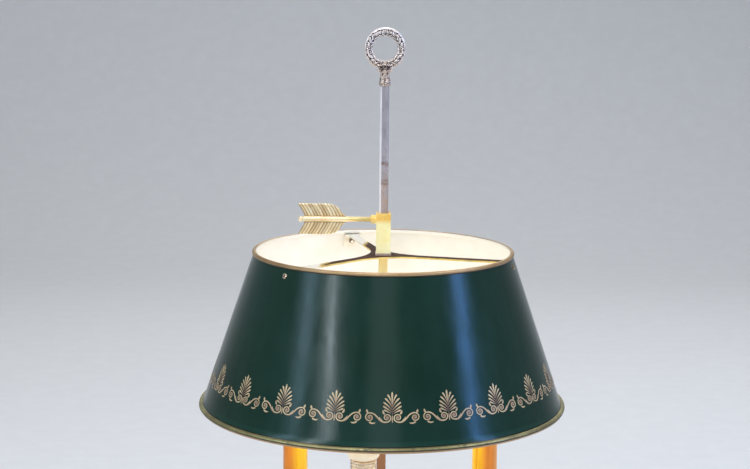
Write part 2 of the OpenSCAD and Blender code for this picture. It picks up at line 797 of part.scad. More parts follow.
// The arm's path with any round section: in by start_in, then a bend down, a short straight,
// a bend up, and straight up by rise
module arm_path(section_d, start_in, rise) {
    if (start_in > 0) at_arm_start() rotate([0, -90, 0]) cylinder(d = section_d, h = start_in);
    translate([arm_r0, 0, arm_z0 - arm_bend_r]) rotate([90, 0, 0]) rotate([0, 0, 90 - arm_slope])
        rotate_extrude(angle = arm_slope) translate([arm_bend_r, 0]) circle(d = section_d);
    translate([arm_mid_r, 0, arm_mid_z]) rotate([0, 90 + arm_slope, 0])
        cylinder(d = section_d, h = arm_straight);
    translate([light_r - arm_sweep_r, 0, arm_end_z]) rotate([90, 0, 0]) rotate([0, 0, -90 - arm_slope])
        rotate_extrude(angle = 90 + arm_slope) translate([arm_sweep_r, 0]) circle(d = section_d);
    at_arm_end() cylinder(d = section_d, h = rise);
}

module arm(i) {
    color(brass) rotate([0, 0, light_angles[i]]) difference() {
        union() {
            arm_path(arm_d, 0, 2);
            translate([light_r, 0, boss_z]) cylinder(d = boss_d, h = boss_h);
            // A knop where the two bends meet
            at_arm_middle() sphere(d = knop_d);
        }
        arm_path(arm_bore_d, 1, 4);
        at_arm_middle() sphere(d = arm_bore_d + 1.2);
        translate([light_r, 0, tube_bottom_z]) cylinder(d = tube_hole_d, h = boss_h + 1);
    }
}

// The supply wire of one light; beads of sleeving cover the joins of its stretches
module arm_wire(i) {
    bead_d = wire_d + 1.2;
    color("#5a4632") rotate([0, 0, light_angles[i]]) {
        arm_path(wire_d, 5, holder_z + holder_floor_t + 2 - arm_end_z);
        at_arm_start() sphere(d = bead_d);
        at_arm_middle() sphere(d = bead_d);
        at_arm_end() sphere(d = bead_d);
    }
}

module holder_tube(i) {
    color(steel) at_light(i) translate([0, 0, tube_bottom_z])
        pipe(tube_d, tube_bore_d, tube_top_z - tube_bottom_z);
}

module drip_pan(i) {
    r = pan_d / 2;
    rise = 6;
    rim = 1.3;
    color(brass) at_light(i) translate([0, 0, pan_z]) turned(concat(
        [[tube_hole_d / 2, 0], [13, 0]],
        arc(13, 18, 18, 270, 290, 3),
        [[r - 3, rise - 1.6]],
        arc(r - rim, rise, rim, -110, 130, 8),
        [[r - 3.4, rise - 0.2]],
        [[19, pan_t + 1.4], [13, pan_t], [tube_hole_d / 2, pan_t]]));
}

module candle_cup(i) {
    r = cup_d / 2;
    socket_r = sleeve_d / 2 + seat_gap;
    color(brass) at_light(i) translate([0, 0, cup_z]) turned(concat(
        [[tube_hole_d / 2, 0], [10, 0], [10, 1.4], [8.4, 2.2], [7.6, 4.4]],
        arc(r - 11, cup_floor_t - 1, 10, -75, 0, 6),
        [[r - 1.8, cup_h - 4]],
        arc(r - 1.5, cup_h - 1.5, 1.5, -90, 90, 6),
        [[socket_r, cup_h], [socket_r, cup_floor_t], [tube_hole_d / 2, cup_floor_t]]));
}

module cup_nuts() {
    color(steel) for (i = [0 : 2]) at_light(i) translate([0, 0, cup_floor_z])
        hex_nut(cup_nut_across, tube_hole_d, cup_nut_h);
}

module candle_sleeve(i) {
    color(candle) at_light(i) translate([0, 0, sleeve_z]) pipe(sleeve_d, sleeve_bore_d, sleeve_h);
}

module lampholder(i) {
    rib_count = 4;
    rib_h = (skirt_h - 2) / rib_count;
    rib_depth = 0.9;
    cavity_z = contact_z - 1;
    r = skirt_d / 2;
    color(steel) at_light(i) difference() {
        turned(concat(
            [[0, holder_z], [holder_d / 2, holder_z], [holder_d / 2, sleeve_top_z], [r, sleeve_top_z]],
            [[r, sleeve_top_z + 1]],
            [for (k = [0 : rib_count - 1]) for (t = [0 : 0.25 : 0.75])
                [r - rib_depth * (0.5 - 0.5 * cos(360 * t)), sleeve_top_z + 1 + (k + t) * rib_h]],
            [[r, holder_top_z - 1], [r - 0.6, holder_top_z], [0, holder_top_z]]));
        translate([0, 0, holder_z - 1]) cylinder(d = tube_hole_d, h = holder_floor_t + 1);
        translate([0, 0, holder_z]) cylinder(d = wire_d + 1, h = cavity_z - holder_z + 1);
        translate([0, 0, cavity_z]) cylinder(d = cap_d + 2 * turn_gap, h = 60);
    }
}

// The centre contact under each bulb: a post with a round head
module holder_contacts() {
    color(brass) for (i = [0 : 2]) at_light(i) translate([0, 0, contact_z - 1]) {
        cylinder(d = 8, h = 1);
        cylinder(d = 4, h = 3);
    }
}

module bulb_base(i) {
    r = bowl_d / 2;
    color(cream) at_light(i) translate([0, 0, holder_top_z]) union() {
        translate([0, 0, -cap_h]) cylinder(d = cap_d, h = cap_h + 1);
        translate([0, 0, -cap_h - 1]) cylinder(d = cap_d * 0.5, h = 2);
        turned(concat(
            [[0, seat_gap], [cap_d / 2 + 2, seat_gap]],
            arc(r - 6, seat_gap + 6.4, 6, -80, 0, 6),
            [[r, bowl_h], [0, bowl_h]]));
    }
}

module bulb_glass(i) {
    r = glass_d / 2;
    neck_r = bowl_d / 2 - 0.6;
    belly_z = bowl_h + 11;
    tip_r = 4;
    rise = bulb_h - belly_z - tip_r;
    color("#fff3cf") at_light(i) translate([0, 0, holder_top_z]) turned(concat(
        [[0, bowl_h], [neck_r, bowl_h]],
        [for (t = [1 : 4]) let (s = sin(90 * t / 4))
            [neck_r + (r - neck_r) * s, bowl_h + (belly_z - bowl_h) * t / 4]],
        [for (t = [1 : 9]) let (u = t / 10)
            [r - (r - tip_r) * (0.53 * u * u + 0.65 * u * u * u), belly_z + rise * u]],
        arc(0, bulb_h - tip_r, tip_r, 0, 90, 4)));
}

felt_pad();
base_dish();
gallery();
base_weight();
cord_bush();
switch_body();
switch_nut();
switch_knob();
stem_tube();
stem_washer();
stem_nut();
main_wire();
column_foot();
column_shaft();
column_capital();
arm_hub();
rod_socket();
rod_set_screw();
rod();
ring_finial();
collar();
arrow_screw();
spider();
shade();
shade_screws();
shade_nuts();
arm(0);  // arm_1
arm(1);  // arm_2
arm(2);  // arm_3
arm_wire(0);  // arm_wire_1
arm_wire(1);  // arm_wire_2
arm_wire(2);  // arm_wire_3
holder_tube(0);  // holder_tube_1
holder_tube(1);  // holder_tube_2
holder_tube(2);  // holder_tube_3
drip_pan(0);  // drip_pan_1
drip_pan(1);  // drip_pan_2
drip_pan(2);  // drip_pan_3
candle_cup(0);  // candle_cup_1
candle_cup(1);  // candle_cup_2
candle_cup(2);  // candle_cup_3
cup_nuts();
candle_sleeve(0);  // candle_sleeve_1
candle_sleeve(1);  // candle_sleeve_2
candle_sleeve(2);  // candle_sleeve_3
lampholder(0);  // lampholder_1
lampholder(1);  // lampholder_2
lampholder(2);  // lampholder_3
holder_contacts();
bulb_base(0);  // bulb_base_1
bulb_base(1);  // bulb_base_2
bulb_base(2);  // bulb_base_3
bulb_glass(0);  // bulb_glass_1
bulb_glass(1);  // bulb_glass_2
bulb_glass(2);  // bulb_glass_3
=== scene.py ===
import bpy, bmesh, json, math
import numpy as np
from mathutils import Matrix, Vector


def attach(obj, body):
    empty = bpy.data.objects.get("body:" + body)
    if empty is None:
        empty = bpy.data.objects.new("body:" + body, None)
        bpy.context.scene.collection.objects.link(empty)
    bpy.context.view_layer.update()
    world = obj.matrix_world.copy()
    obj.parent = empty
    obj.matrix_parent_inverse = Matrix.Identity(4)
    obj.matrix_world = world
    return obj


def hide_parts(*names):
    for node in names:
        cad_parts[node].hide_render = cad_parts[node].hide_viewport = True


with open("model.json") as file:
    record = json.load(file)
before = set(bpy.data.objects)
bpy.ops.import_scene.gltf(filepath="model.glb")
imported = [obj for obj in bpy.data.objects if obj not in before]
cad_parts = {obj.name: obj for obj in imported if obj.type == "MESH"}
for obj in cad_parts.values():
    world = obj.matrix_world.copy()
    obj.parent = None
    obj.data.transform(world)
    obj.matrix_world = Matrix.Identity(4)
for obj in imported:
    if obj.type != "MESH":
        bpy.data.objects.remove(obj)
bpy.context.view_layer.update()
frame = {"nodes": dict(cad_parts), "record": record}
NODES = frame["nodes"]
MM = 0.001

# ---------------------------------------------------------------- sizes, in mm, as in the CAD model
SHADE_Z = 444.0                 # height of the top rim's bead
SHADE_H = 159.0                 # from there down to the bottom rim's bead
TOP_R = 133.0
BOTTOM_R = 188.0
HEM_H = 9.0                     # over this height the wall turns out at the bottom ...
HEM_OUT = 4.0                   # ... by this much
WALL = 0.6
TOP_BEAD = 4.6
BOTTOM_BEAD = 5.6
WALL_BOTTOM_Z = SHADE_Z - SHADE_H + HEM_H
SLOPE = (BOTTOM_R - HEM_OUT - TOP_R) / (SHADE_Z - WALL_BOTTOM_Z)
LEAN = math.atan(SLOPE)
RING_Z = 653.2                  # centre of the ring
ROD_TOP_Z = 615.0
ARROW_Z = 477.5                 # axis of the arrow screw
LIGHT_AZIMUTHS = (-98.6, 21.4, 141.4)   # of the three candles, in degrees


def wall_r(z):
    return TOP_R + (SHADE_Z - z) * SLOPE


# ---------------------------------------------------------------- camera at the photograph's viewing angle
CAM_DISTANCE = 1.834
CAM_Z = 0.7615
CAM_X = -0.0075
CAM_PITCH = 0.16205
CAM_YAW = 0.0006
CAM_ROLL = 0.009
FOCAL_PX = 1800.0
IMAGE_W = 750.0
SENSOR_MM = 36.0

cam_data = bpy.data.cameras.new("camera")
cam_data.sensor_width = SENSOR_MM
cam_data.lens = SENSOR_MM * FOCAL_PX / IMAGE_W
cam_data.clip_start = 0.05
cam_data.clip_end = 60.0
cam = bpy.data.objects.new("camera", cam_data)
bpy.context.scene.collection.objects.link(cam)
cam.matrix_world = (Matrix.Translation((CAM_X, -CAM_DISTANCE, CAM_Z))
                    @ Matrix.Rotation(CAM_YAW, 4, "Z")
                    @ Matrix.Rotation(math.pi / 2 - CAM_PITCH, 4, "X")
                    @ Matrix.Rotation(CAM_ROLL, 4, "Z"))
bpy.context.scene.camera = cam


# ---------------------------------------------------------------- node material helpers
class Mat:
    """A small builder for procedural materials in object coordinates, which are the lamp's own, in metres."""

    def __init__(self, name):
        self.material = bpy.data.materials.new(name)
        self.material.use_nodes = True
        self.tree = self.material.node_tree
        self.tree.nodes.clear()
        output = self.node("OutputMaterial")
        self.shader = self.node("BsdfPrincipled")
        self.link(self.shader.outputs[0], output.inputs[0])
        self.coords = self.node("TexCoord").outputs["Object"]

    def node(self, kind):
        return self.tree.nodes.new("ShaderNode" + kind)

    def link(self, a, b):
        self.tree.links.new(a, b)

    def put(self, socket, v):
        """Link an output to a socket, or set its value."""
        if isinstance(v, bpy.types.NodeSocket):
            self.link(v, socket)
        elif isinstance(v, (tuple, list)) and len(v) == 3 and socket.type == "RGBA":
            socket.default_value = (*v, 1.0)
        else:
            socket.default_value = v

    def set(self, **inputs):
        for k, v in inputs.items():
            self.put(self.shader.inputs[k.replace("_", " ")], v)

    def xyz(self):
        n = self.node("SeparateXYZ")
        self.link(self.coords, n.inputs[0])
        return n.outputs

    def radius(self):
        """Distance from the lamp's axis."""
        x, y, z = self.xyz()
        return self.math("SQRT", self.plus(self.times(x, x), self.times(y, y)))

    def attribute(self, name):
        n = self.node("Attribute")
        n.attribute_name = name
        return n.outputs["Fac"]

    def noise(self, scale, detail, rough, z_scale=1.0, distortion=0.0):
        """Fractal noise. A z_scale below 1 draws it out along Z."""
        n = self.node("TexNoise")
        vector = self.coords
        if z_scale != 1.0:
            mapping = self.node("Mapping")
            mapping.inputs["Scale"].default_value = (1.0, 1.0, z_scale)
            self.link(self.coords, mapping.inputs["Vector"])
            vector = mapping.outputs[0]
        self.link(vector, n.inputs["Vector"])
        n.inputs["Scale"].default_value = scale
        n.inputs["Detail"].default_value = detail
        n.inputs["Roughness"].default_value = rough
        n.inputs["Distortion"].default_value = distortion
        return n.outputs["Fac"]

    def math(self, op, a, b=0.0):
        n = self.node("Math")
        n.operation = op
        self.put(n.inputs[0], a)
        self.put(n.inputs[1], b)
        return n.outputs[0]

    def times(self, a, b):
        return self.math("MULTIPLY", a, b)

    def plus(self, a, b):
        return self.math("ADD", a, b)

    def minus(self, a, b):
        return self.math("SUBTRACT", a, b)

    def wavy(self, v, noise, amount):
        """The value moved up and down by a noise, by half the amount at most."""
        return self.plus(v, self.times(self.minus(noise, 0.5), amount))

    def ramp(self, v, a, b, lo=0.0, hi=1.0):
        """A grey from lo, up to the value a, to hi, from the value b on."""
        n = self.node("ValToRGB")
        self.link(v, n.inputs[0])
        for stop, position, grey in zip(n.color_ramp.elements, (a, b), (lo, hi)):
            stop.position = position
            stop.color = (grey, grey, grey, 1)
        return n.outputs[0]

    def span(self, v, a, b, lo=0.0, hi=1.0):
        """The value mapped from a..b to lo..hi and held there."""
        n = self.node("MapRange")
        self.put(n.inputs["Value"], v)
        n.inputs["From Min"].default_value = a
        n.inputs["From Max"].default_value = b
        n.inputs["To Min"].default_value = lo
        n.inputs["To Max"].default_value = hi
        return n.outputs[0]

    def fade(self, v, a, b):
        """A smooth step from 0 at a to 1 at b. Where b is the lower one, it is 1 below it."""
        out = self.span(v, a, b)
        out.node.interpolation_type = "SMOOTHSTEP"
        return out

    def window(self, v, a, b, c, d):
        """A smooth window that opens from a to b and closes from c to d."""
        return self.times(self.fade(v, a, b), self.fade(v, d, c))

    def mix(self, factor, a, b):
        n = self.node("Mix")
        n.data_type = "RGBA"
        factor_in, a_in, b_in, colour_out = n.inputs[0], n.inputs[6], n.inputs[7], n.outputs[2]
        self.put(factor_in, factor)
        self.put(a_in, a)
        self.put(b_in, b)
        return colour_out

    def tones(self, v, a, b, first, second, most=1.0):
        """The first colour where the value is under a, and the second, up to a share of most, where it is over b."""
        return self.mix(self.ramp(v, a, b, 0.0, most), first, second)

    def bump(self, height, strength, distance, under=None):
        """Relief in which a height of 1 stands for the distance in metres, on an earlier bump where one is given."""
        n = self.node("Bump")
        self.link(height, n.inputs["Height"])
        n.inputs["Strength"].default_value = strength
        n.inputs["Distance"].default_value = distance
        if under is not None:
            self.link(under, n.inputs["Normal"])
        self.link(n.outputs[0], self.shader.inputs["Normal"])
        return n.outputs[0]


# ---------------------------------------------------------------- materials; heights and radii are in metres
def brass(name, light, dark, rough=(0.2, 0.42), grime_from=0.55, scale=1.0):
    """Aged brass: clouds of tone, brown grime in patches, fine scratches."""
    m = Mat(name)
    clouds = m.noise(38 * scale, 6, 0.6)
    spots = m.noise(150 * scale, 8, 0.72, distortion=0.4)
    soil = m.ramp(spots, grime_from, grime_from + 0.16)
    tone = m.tones(clouds, 0.32, 0.68, dark, light)
    m.set(Base_Color=m.mix(m.times(soil, 0.6), tone, (0.10, 0.052, 0.02)), Metallic=1.0)
    m.set(Roughness=m.span(m.plus(m.times(clouds, 0.6), m.times(soil, 0.6)), 0.2, 0.9, *rough))
    scratches = m.noise(90, 3, 0.7, z_scale=9)
    m.bump(m.plus(m.times(scratches, 0.35), spots), 0.10, 0.0003)
    return m.material


def steel(name, light, dark, rough=(0.28, 0.5)):
    """Bare steel with fine upright lines."""
    m = Mat(name)
    clouds = m.noise(60, 6, 0.65)
    m.set(Base_Color=m.tones(clouds, 0.35, 0.65, dark, light), Metallic=1.0)
    m.set(Roughness=m.span(clouds, 0.3, 0.7, *rough))
    m.bump(m.noise(420, 2, 0.5, z_scale=0.08), 0.08, 0.0002)
    return m.material


EDGE_HIGHLIGHT_XY = (12.0e-6, 14.0e-6)       # x times y, in square metres, near the corners of the rod's section


def rod_steel():
    """Old square steel: grey with a lilac cast above, brown rust towards the collar, copper below as painted warm
    light.
    """
    m = Mat("rod_steel")
    x, y, z = m.xyz()
    clouds = m.noise(46, 7, 0.65, z_scale=0.35)
    specks = m.noise(150, 8, 0.75, z_scale=1.4, distortion=0.6)
    blotches = m.ramp(m.noise(210, 5, 0.6), 0.44, 0.56)
    col = m.tones(clouds, 0.35, 0.66, (0.36, 0.335, 0.375), (0.66, 0.63, 0.69))
    # rust specks, densest a little above the collar
    rusty = m.times(m.window(z, 0.485, 0.510, 0.535, 0.560), 0.075)
    rust = m.ramp(m.plus(specks, rusty), 0.585, 0.74, 0.0, 0.9)
    col = m.mix(rust, col, (0.24, 0.125, 0.080))
    # a warm tint towards the collar, partly rust and partly painted warm light, and two brown marks across the rod
    warm = m.times(m.fade(z, 0.545, 0.495), m.span(blotches, 0.0, 1.0, 0.30, 0.62))
    col = m.mix(warm, col, (0.66, 0.44, 0.31))
    upper = m.times(m.window(z, 0.5340, 0.5352, 0.5376, 0.5388), m.ramp(specks, 0.42, 0.6, 0.10, 0.80))
    col = m.mix(upper, col, (0.20, 0.105, 0.070))
    lower = m.times(m.window(z, 0.5130, 0.5150, 0.5185, 0.5205), m.ramp(blotches, 0.0, 1.0, 0.35, 0.95))
    col = m.mix(lower, col, (0.27, 0.145, 0.075))
    # painted light: yellow from the top of the shade down where the bulbs light it, copper brown further down
    inside = m.fade(z, 0.4440, 0.4415)
    col = m.mix(m.times(inside, 0.85), col, (0.80, 0.68, 0.30))
    col = m.mix(m.fade(z, 0.415, 0.380), col, (0.31, 0.155, 0.080))
    # painted highlight: two opposite edges are painted bright and less metallic above the collar, for the reflection
    # along them
    uneven = m.times(m.ramp(clouds, 0.30, 0.5, 0.35, 0.9), m.span(z, 0.460, 0.480))
    wear_and_painted_light = m.times(m.fade(m.times(x, y), *EDGE_HIGHLIGHT_XY), uneven)
    col = m.mix(wear_and_painted_light, col, (0.90, 0.87, 0.90))
    dull = m.times(m.span(inside, 0.0, 1.0, 1.0, 0.5), m.span(wear_and_painted_light, 0.0, 1.0, 1.0, 0.3))
    m.set(Base_Color=col, Metallic=m.times(m.span(rust, 0.0, 1.0, 0.85, 0.25), dull))
    m.set(Roughness=m.span(m.plus(clouds, rust), 0.3, 1.4, 0.34, 0.75))
    m.bump(m.plus(specks, m.times(rust, 0.5)), 0.28, 0.0004)
    return m.material


def tole_outside():
    """Gloss enamel: deep bottle green with soft unevenness, drawn lines and small chips near the rim."""
    m = Mat("tole_outside")
    z = m.xyz()[2]
    fine = m.noise(60, 6, 0.6, z_scale=0.25)
    col = m.tones(m.noise(7, 4, 0.5), 0.36, 0.66, (0.0027, 0.0222, 0.0140), (0.0048, 0.0300, 0.0222))
    col = m.tones(fine, 0.45, 0.75, col, (0.008, 0.038, 0.026), 0.35)
    # the turned-out hem: a lighter band over a painted shadow line, near black, where the wall meets the rolled bead
    band = m.window(z, 0.2875, 0.2885, 0.2915, 0.2935)
    col = m.mix(m.times(band, 0.35), col, (0.010, 0.055, 0.038))
    col = m.mix(m.fade(z, 0.2886, 0.2880), col, (0.0015, 0.0022, 0.0018))
    # chips show the ground, and are more frequent lower down
    low = m.times(m.fade(z, 0.330, 0.286), 0.055)
    chips = m.ramp(m.plus(m.noise(210, 9, 0.8, distortion=1.0), low), 0.735, 0.765)
    col = m.mix(m.times(chips, 0.6), col, (0.16, 0.17, 0.12))
    m.set(Base_Color=col, Roughness=m.span(fine, 0.3, 0.75, 0.15, 0.26), Specular_IOR_Level=0.34)
    ripple = m.bump(m.noise(16, 3, 0.5, z_scale=1.6), 0.08, 0.004)
    drawn = m.noise(330, 3, 0.6, z_scale=0.12)
    m.bump(m.plus(drawn, m.times(chips, -0.7)), 0.14, 0.0003, ripple)
    return m.material


def tole_inside():
    """Off-white paint, mottled and dusty."""
    m = Mat("tole_inside")
    dust = m.noise(240, 6, 0.7)
    col = m.tones(m.noise(18, 5, 0.55), 0.35, 0.7, (0.72, 0.70, 0.635), (0.81, 0.795, 0.745))
    m.set(Base_Color=m.tones(dust, 0.64, 0.8, col, (0.42, 0.33, 0.22), 0.4), Roughness=0.5)
    m.bump(dust, 0.08, 0.0004)
    return m.material


INSIDE_INWARDS, INSIDE_DOWN = 0.887, 0.462      # unit vector from a bead's centre to the shade's inside


def gilt_rim(name, light, dark, wear_and_painted_light, worn_from, line_z, line_h, under=(0.22, 0.14, 0.065), bead=None):
    """Gilt paint on a rolled rim, rubbed through to a brown ground in places.

    A painted shadow line, in the brown ground's colour, runs round it at the height line_z; below that it takes
    the colour under. Where the bead's centre is given, as its radius and height, its inner side is off-white.
    """
    m = Mat(name)
    along = m.noise(26, 5, 0.6)
    fine = m.noise(170, 8, 0.75, distortion=0.5)
    wear = m.ramp(m.plus(fine, m.times(along, 0.2)), worn_from, worn_from + 0.12)
    col = m.mix(wear, m.tones(along, 0.36, 0.66, dark, light), wear_and_painted_light)
    z = m.wavy(m.xyz()[2], along, 0.0006)
    # painted shadow line round the bead, in the brown ground's colour
    line = m.window(z, line_z - line_h, line_z - 0.6 * line_h, line_z + 0.6 * line_h, line_z + line_h)
    col = m.mix(m.times(m.fade(z, line_z, line_z - line_h), 0.6), col, under)
    col = m.mix(m.times(line, 0.95), col, wear_and_painted_light)
    metal = m.span(m.math("MAXIMUM", wear, line), 0, 1, 0.6, 0.15)
    if bead:
        bead_r, bead_z = bead
        inwards = m.times(m.minus(bead_r, m.radius()), INSIDE_INWARDS)
        down = m.times(m.minus(bead_z, m.xyz()[2]), INSIDE_DOWN)
        white = m.fade(m.plus(inwards, down), 0.0005, 0.0009)
        col = m.mix(white, col, (0.80, 0.77, 0.69))
        metal = m.times(metal, m.span(white, 0, 1, 1, 0))
    m.set(Base_Color=col, Metallic=metal, Roughness=m.span(fine, 0.3, 0.8, 0.30, 0.6))
    m.bump(fine, 0.30, 0.0004)
    return m.material


def frieze_gold():
    """Gold paint in patches of tone, browner where the mesh attribute tone says so."""
    m = Mat("frieze_gold")
    grain = m.noise(520, 6, 0.75)
    col = m.tones(m.noise(60, 5, 0.6), 0.35, 0.68, (0.46, 0.345, 0.205), (0.70, 0.545, 0.335))
    col = m.mix(m.times(m.attribute("tone"), 0.85), col, (0.215, 0.125, 0.100))
    col = m.tones(grain, 0.58, 0.74, col, (0.20, 0.125, 0.080), 0.6)
    m.set(Base_Color=col, Metallic=0.15, Roughness=m.span(grain, 0.3, 0.8, 0.36, 0.6))
    m.bump(grain, 0.25, 0.0002)
    return m.material


def frieze_brown():
    """The frieze's brown shadow lines."""
    m = Mat("frieze_brown")
    grain = m.noise(420, 5, 0.7)
    m.set(Base_Color=m.tones(grain, 0.35, 0.7, (0.085, 0.044, 0.030), (0.155, 0.088, 0.060)), Roughness=0.45)
    m.bump(grain, 0.2, 0.0002)
    return m.material


def ring_bronze():
    """Silvery rubbed gilding on chased bronze, nearly black in the pits and browner low on the ring."""
    m = Mat("ring_bronze")
    z = m.xyz()[2]
    fine = m.noise(330, 7, 0.7, distortion=0.5)
    clouds = m.noise(95, 5, 0.6)
    col = m.tones(clouds, 0.38, 0.66, (0.66, 0.57, 0.53), (0.93, 0.87, 0.86))
    brown = m.times(m.fade(z, 0.650, 0.630), m.ramp(clouds, 0.4, 0.62, 0.3, 0.9))
    col = m.mix(m.times(brown, 0.65), col, (0.55, 0.30, 0.13))
    col = m.mix(m.fade(m.attribute("relief"), 0.50, 0.18), col, (0.034, 0.020, 0.026))
    col = m.tones(fine, 0.62, 0.76, col, (0.12, 0.08, 0.06), 0.5)
    m.set(Base_Color=col, Metallic=0.6, Roughness=m.span(fine, 0.3, 0.75, 0.26, 0.48))
    m.bump(fine, 0.35, 0.0003)
    return m.material


OFF_WHITE_SIDE = (-0.953, 0.303)          # direction, in x and y, towards which the spider's arms turn gold and then off-white


def spider_bronze():
    """Dark brown plate with painted light: yellow edges, a gold band, then off-white lugs and ends of the two left
    arms.
    """
    m = Mat("spider_bronze")
    x, y, z = m.xyz()
    clouds = m.noise(55, 6, 0.65)
    fine = m.noise(260, 6, 0.7)
    col = m.tones(clouds, 0.34, 0.68, (0.030, 0.011, 0.005), (0.078, 0.032, 0.015))
    col = m.tones(fine, 0.64, 0.80, col, (0.30, 0.19, 0.08), 0.6)
    # painted light: below the top face, edges, underside and lugs are bright yellow in patches; its top is brown
    cut = m.times(m.fade(z, 0.44085, 0.44060), m.ramp(clouds, 0.3, 0.6, 0.55, 1.0))
    col = m.mix(cut, col, (0.80, 0.60, 0.20))
    # painted light as a gold band, and then off-white, from a distance on that side
    out = m.plus(m.times(x, OFF_WHITE_SIDE[0]), m.times(y, OFF_WHITE_SIDE[1]))
    out = m.wavy(out, clouds, 0.010)
    gold = m.fade(out, 0.0345, 0.0375)
    col = m.mix(m.times(gold, 0.8), col, (0.62, 0.46, 0.16))
    painted = m.fade(out, 0.0385, 0.0415)
    col = m.mix(painted, col, m.tones(fine, 0.4, 0.75, (0.78, 0.74, 0.64), (0.66, 0.59, 0.47)))
    m.set(Base_Color=col, Metallic=m.times(gold, m.span(painted, 0.0, 1.0, 0.5, 0.0)))
    m.set(Roughness=m.span(fine, 0.3, 0.75, 0.55, 0.75), Specular_IOR_Level=0.12)
    m.bump(fine, 0.2, 0.0003)
    return m.material


def wax():
    """Amber sleeve, painted bulb light: yellow towards the lamp's axis, deep orange then peach outwards; fine
    streaks.
    """
    m = Mat("wax")
    streaks = m.noise(150, 5, 0.6, z_scale=0.07)
    # painted light: the colour goes by distance from the axis, yellow on the side the bulbs light
    r = m.wavy(m.radius(), m.noise(34, 4, 0.55, z_scale=0.4), 0.006)
    col = m.mix(m.fade(r, 0.1080, 0.1180), (1.0, 0.56, 0.006), (0.90, 0.26, 0.008))
    col = m.mix(m.fade(r, 0.1215, 0.1310), col, (1.0, 0.38, 0.075))
    col = m.mix(m.ramp(streaks, 0.34, 0.50, 0.70, 0.0), col, (0.62, 0.17, 0.010))
    col = m.tones(streaks, 0.56, 0.72, col, (1.0, 0.52, 0.10), 0.5)
    specks = m.noise(420, 4, 0.7, z_scale=0.5)
    col = m.tones(specks, 0.68, 0.76, col, (0.36, 0.11, 0.015), 0.4)
    m.set(Base_Color=col, Roughness=m.span(streaks, 0.3, 0.7, 0.24, 0.40))
    m.set(Subsurface_Weight=0.2, Subsurface_Scale=0.004, Subsurface_Radius=(1.0, 0.40, 0.06))
    m.bump(streaks, 0.16, 0.0004)
    return m.material


def cream_plastic():
    """The bulbs' bases: cream plastic with some light through it."""
    m = Mat("bulb_cream")
    clouds = m.noise(60, 4, 0.6)
    m.set(Base_Color=m.tones(clouds, 0.35, 0.7, (0.74, 0.66, 0.50), (0.84, 0.79, 0.66)))
    m.set(Roughness=m.span(clouds, 0.3, 0.7, 0.28, 0.42))
    m.set(Emission_Color=(1.0, 0.72, 0.40), Emission_Strength=0.30)
    m.bump(m.noise(420, 5, 0.6), 0.06, 0.0003)
    return m.material


def frosted_glass():
    """A lit frosted bulb: warm white, dimmer towards the cap and brightest round the middle."""
    m = Mat("bulb_glass")
    frost = m.noise(300, 4, 0.6)
    m.set(Base_Color=m.tones(frost, 0.4, 0.7, (0.82, 0.74, 0.58), (0.88, 0.82, 0.70)), Roughness=0.35)
    glow = m.mix(m.fade(m.xyz()[2], 0.270, 0.300), (0.86, 0.50, 0.20), (1.0, 0.86, 0.60))
    m.set(Emission_Color=glow, Emission_Strength=1.0)
    m.bump(frost, 0.05, 0.0003)
    return m.material


def nickel():
    """Bright plating of the lampholders, brown in its hollows."""
    m = Mat("nickel")
    clouds = m.noise(130, 6, 0.7)
    fine = m.noise(460, 5, 0.7)
    col = m.tones(clouds, 0.36, 0.66, (0.50, 0.37, 0.25), (0.93, 0.85, 0.72))
    m.set(Base_Color=m.tones(fine, 0.66, 0.8, col, (0.16, 0.11, 0.07), 0.6), Metallic=1.0)
    m.set(Roughness=m.span(clouds, 0.3, 0.7, 0.12, 0.28))
    m.bump(fine, 0.10, 0.0002)
    return m.material


def arrow_gilt():
    """Pale rubbed gilding: near white along barbs and quill, golden towards the boss, painted shade brown in the
    gaps.
    """
    m = Mat("arrow_gilt")
    clouds = m.noise(90, 6, 0.6)
    spots = m.noise(300, 8, 0.72, distortion=0.4)
    col = m.tones(clouds, 0.34, 0.66, (0.86, 0.64, 0.35), (0.98, 0.88, 0.63))
    near = m.fade(m.xyz()[0], -0.046, -0.030)
    col = m.mix(m.times(near, 0.7), col, (0.82, 0.62, 0.20))
    # painted shade: brown where the relief is low, in the cuts between barbs and along the vanes' roots
    gap = m.fade(m.attribute("relief"), 0.62, 0.22)
    col = m.mix(m.times(gap, 0.9), col, m.mix(clouds, (0.27, 0.150, 0.060), (0.46, 0.30, 0.10)))
    col = m.tones(spots, 0.60, 0.76, col, (0.26, 0.15, 0.06), 0.6)
    m.set(Base_Color=col, Metallic=0.45, Roughness=m.span(m.plus(clouds, spots), 0.6, 1.4, 0.26, 0.44))
    m.bump(spots, 0.18, 0.0003)
    return m.material


def collar_gilt():
    """The collar: orange gold on its top and boss, painted bulb light below (pale yellow), a greyish pink foot."""
    m = Mat("collar_gilt")
    z = m.xyz()[2]
    clouds = m.noise(80, 6, 0.6)
    spots = m.noise(230, 8, 0.72, distortion=0.4)
    pale = m.tones(clouds, 0.36, 0.66, (0.96, 0.85, 0.38), (1.0, 0.95, 0.60))
    gold = m.tones(clouds, 0.36, 0.66, (0.86, 0.50, 0.085), (0.98, 0.70, 0.22))
    foot = m.tones(spots, 0.4, 0.66, (0.34, 0.24, 0.20), (0.62, 0.50, 0.44))
    # painted light: pale yellow lower down, lit by the bulbs under the shade; orange gold above
    col = m.mix(m.fade(m.wavy(z, clouds, 0.004), 0.4725, 0.4790), pale, gold)
    col = m.mix(m.fade(z, 0.4436, 0.4428), col, foot)
    col = m.tones(spots, 0.60, 0.74, col, (0.16, 0.08, 0.025), 0.7)
    m.set(Base_Color=col, Metallic=0.18, Roughness=m.span(m.plus(clouds, spots), 0.6, 1.4, 0.26, 0.46))
    m.bump(spots, 0.15, 0.0003)
    return m.material


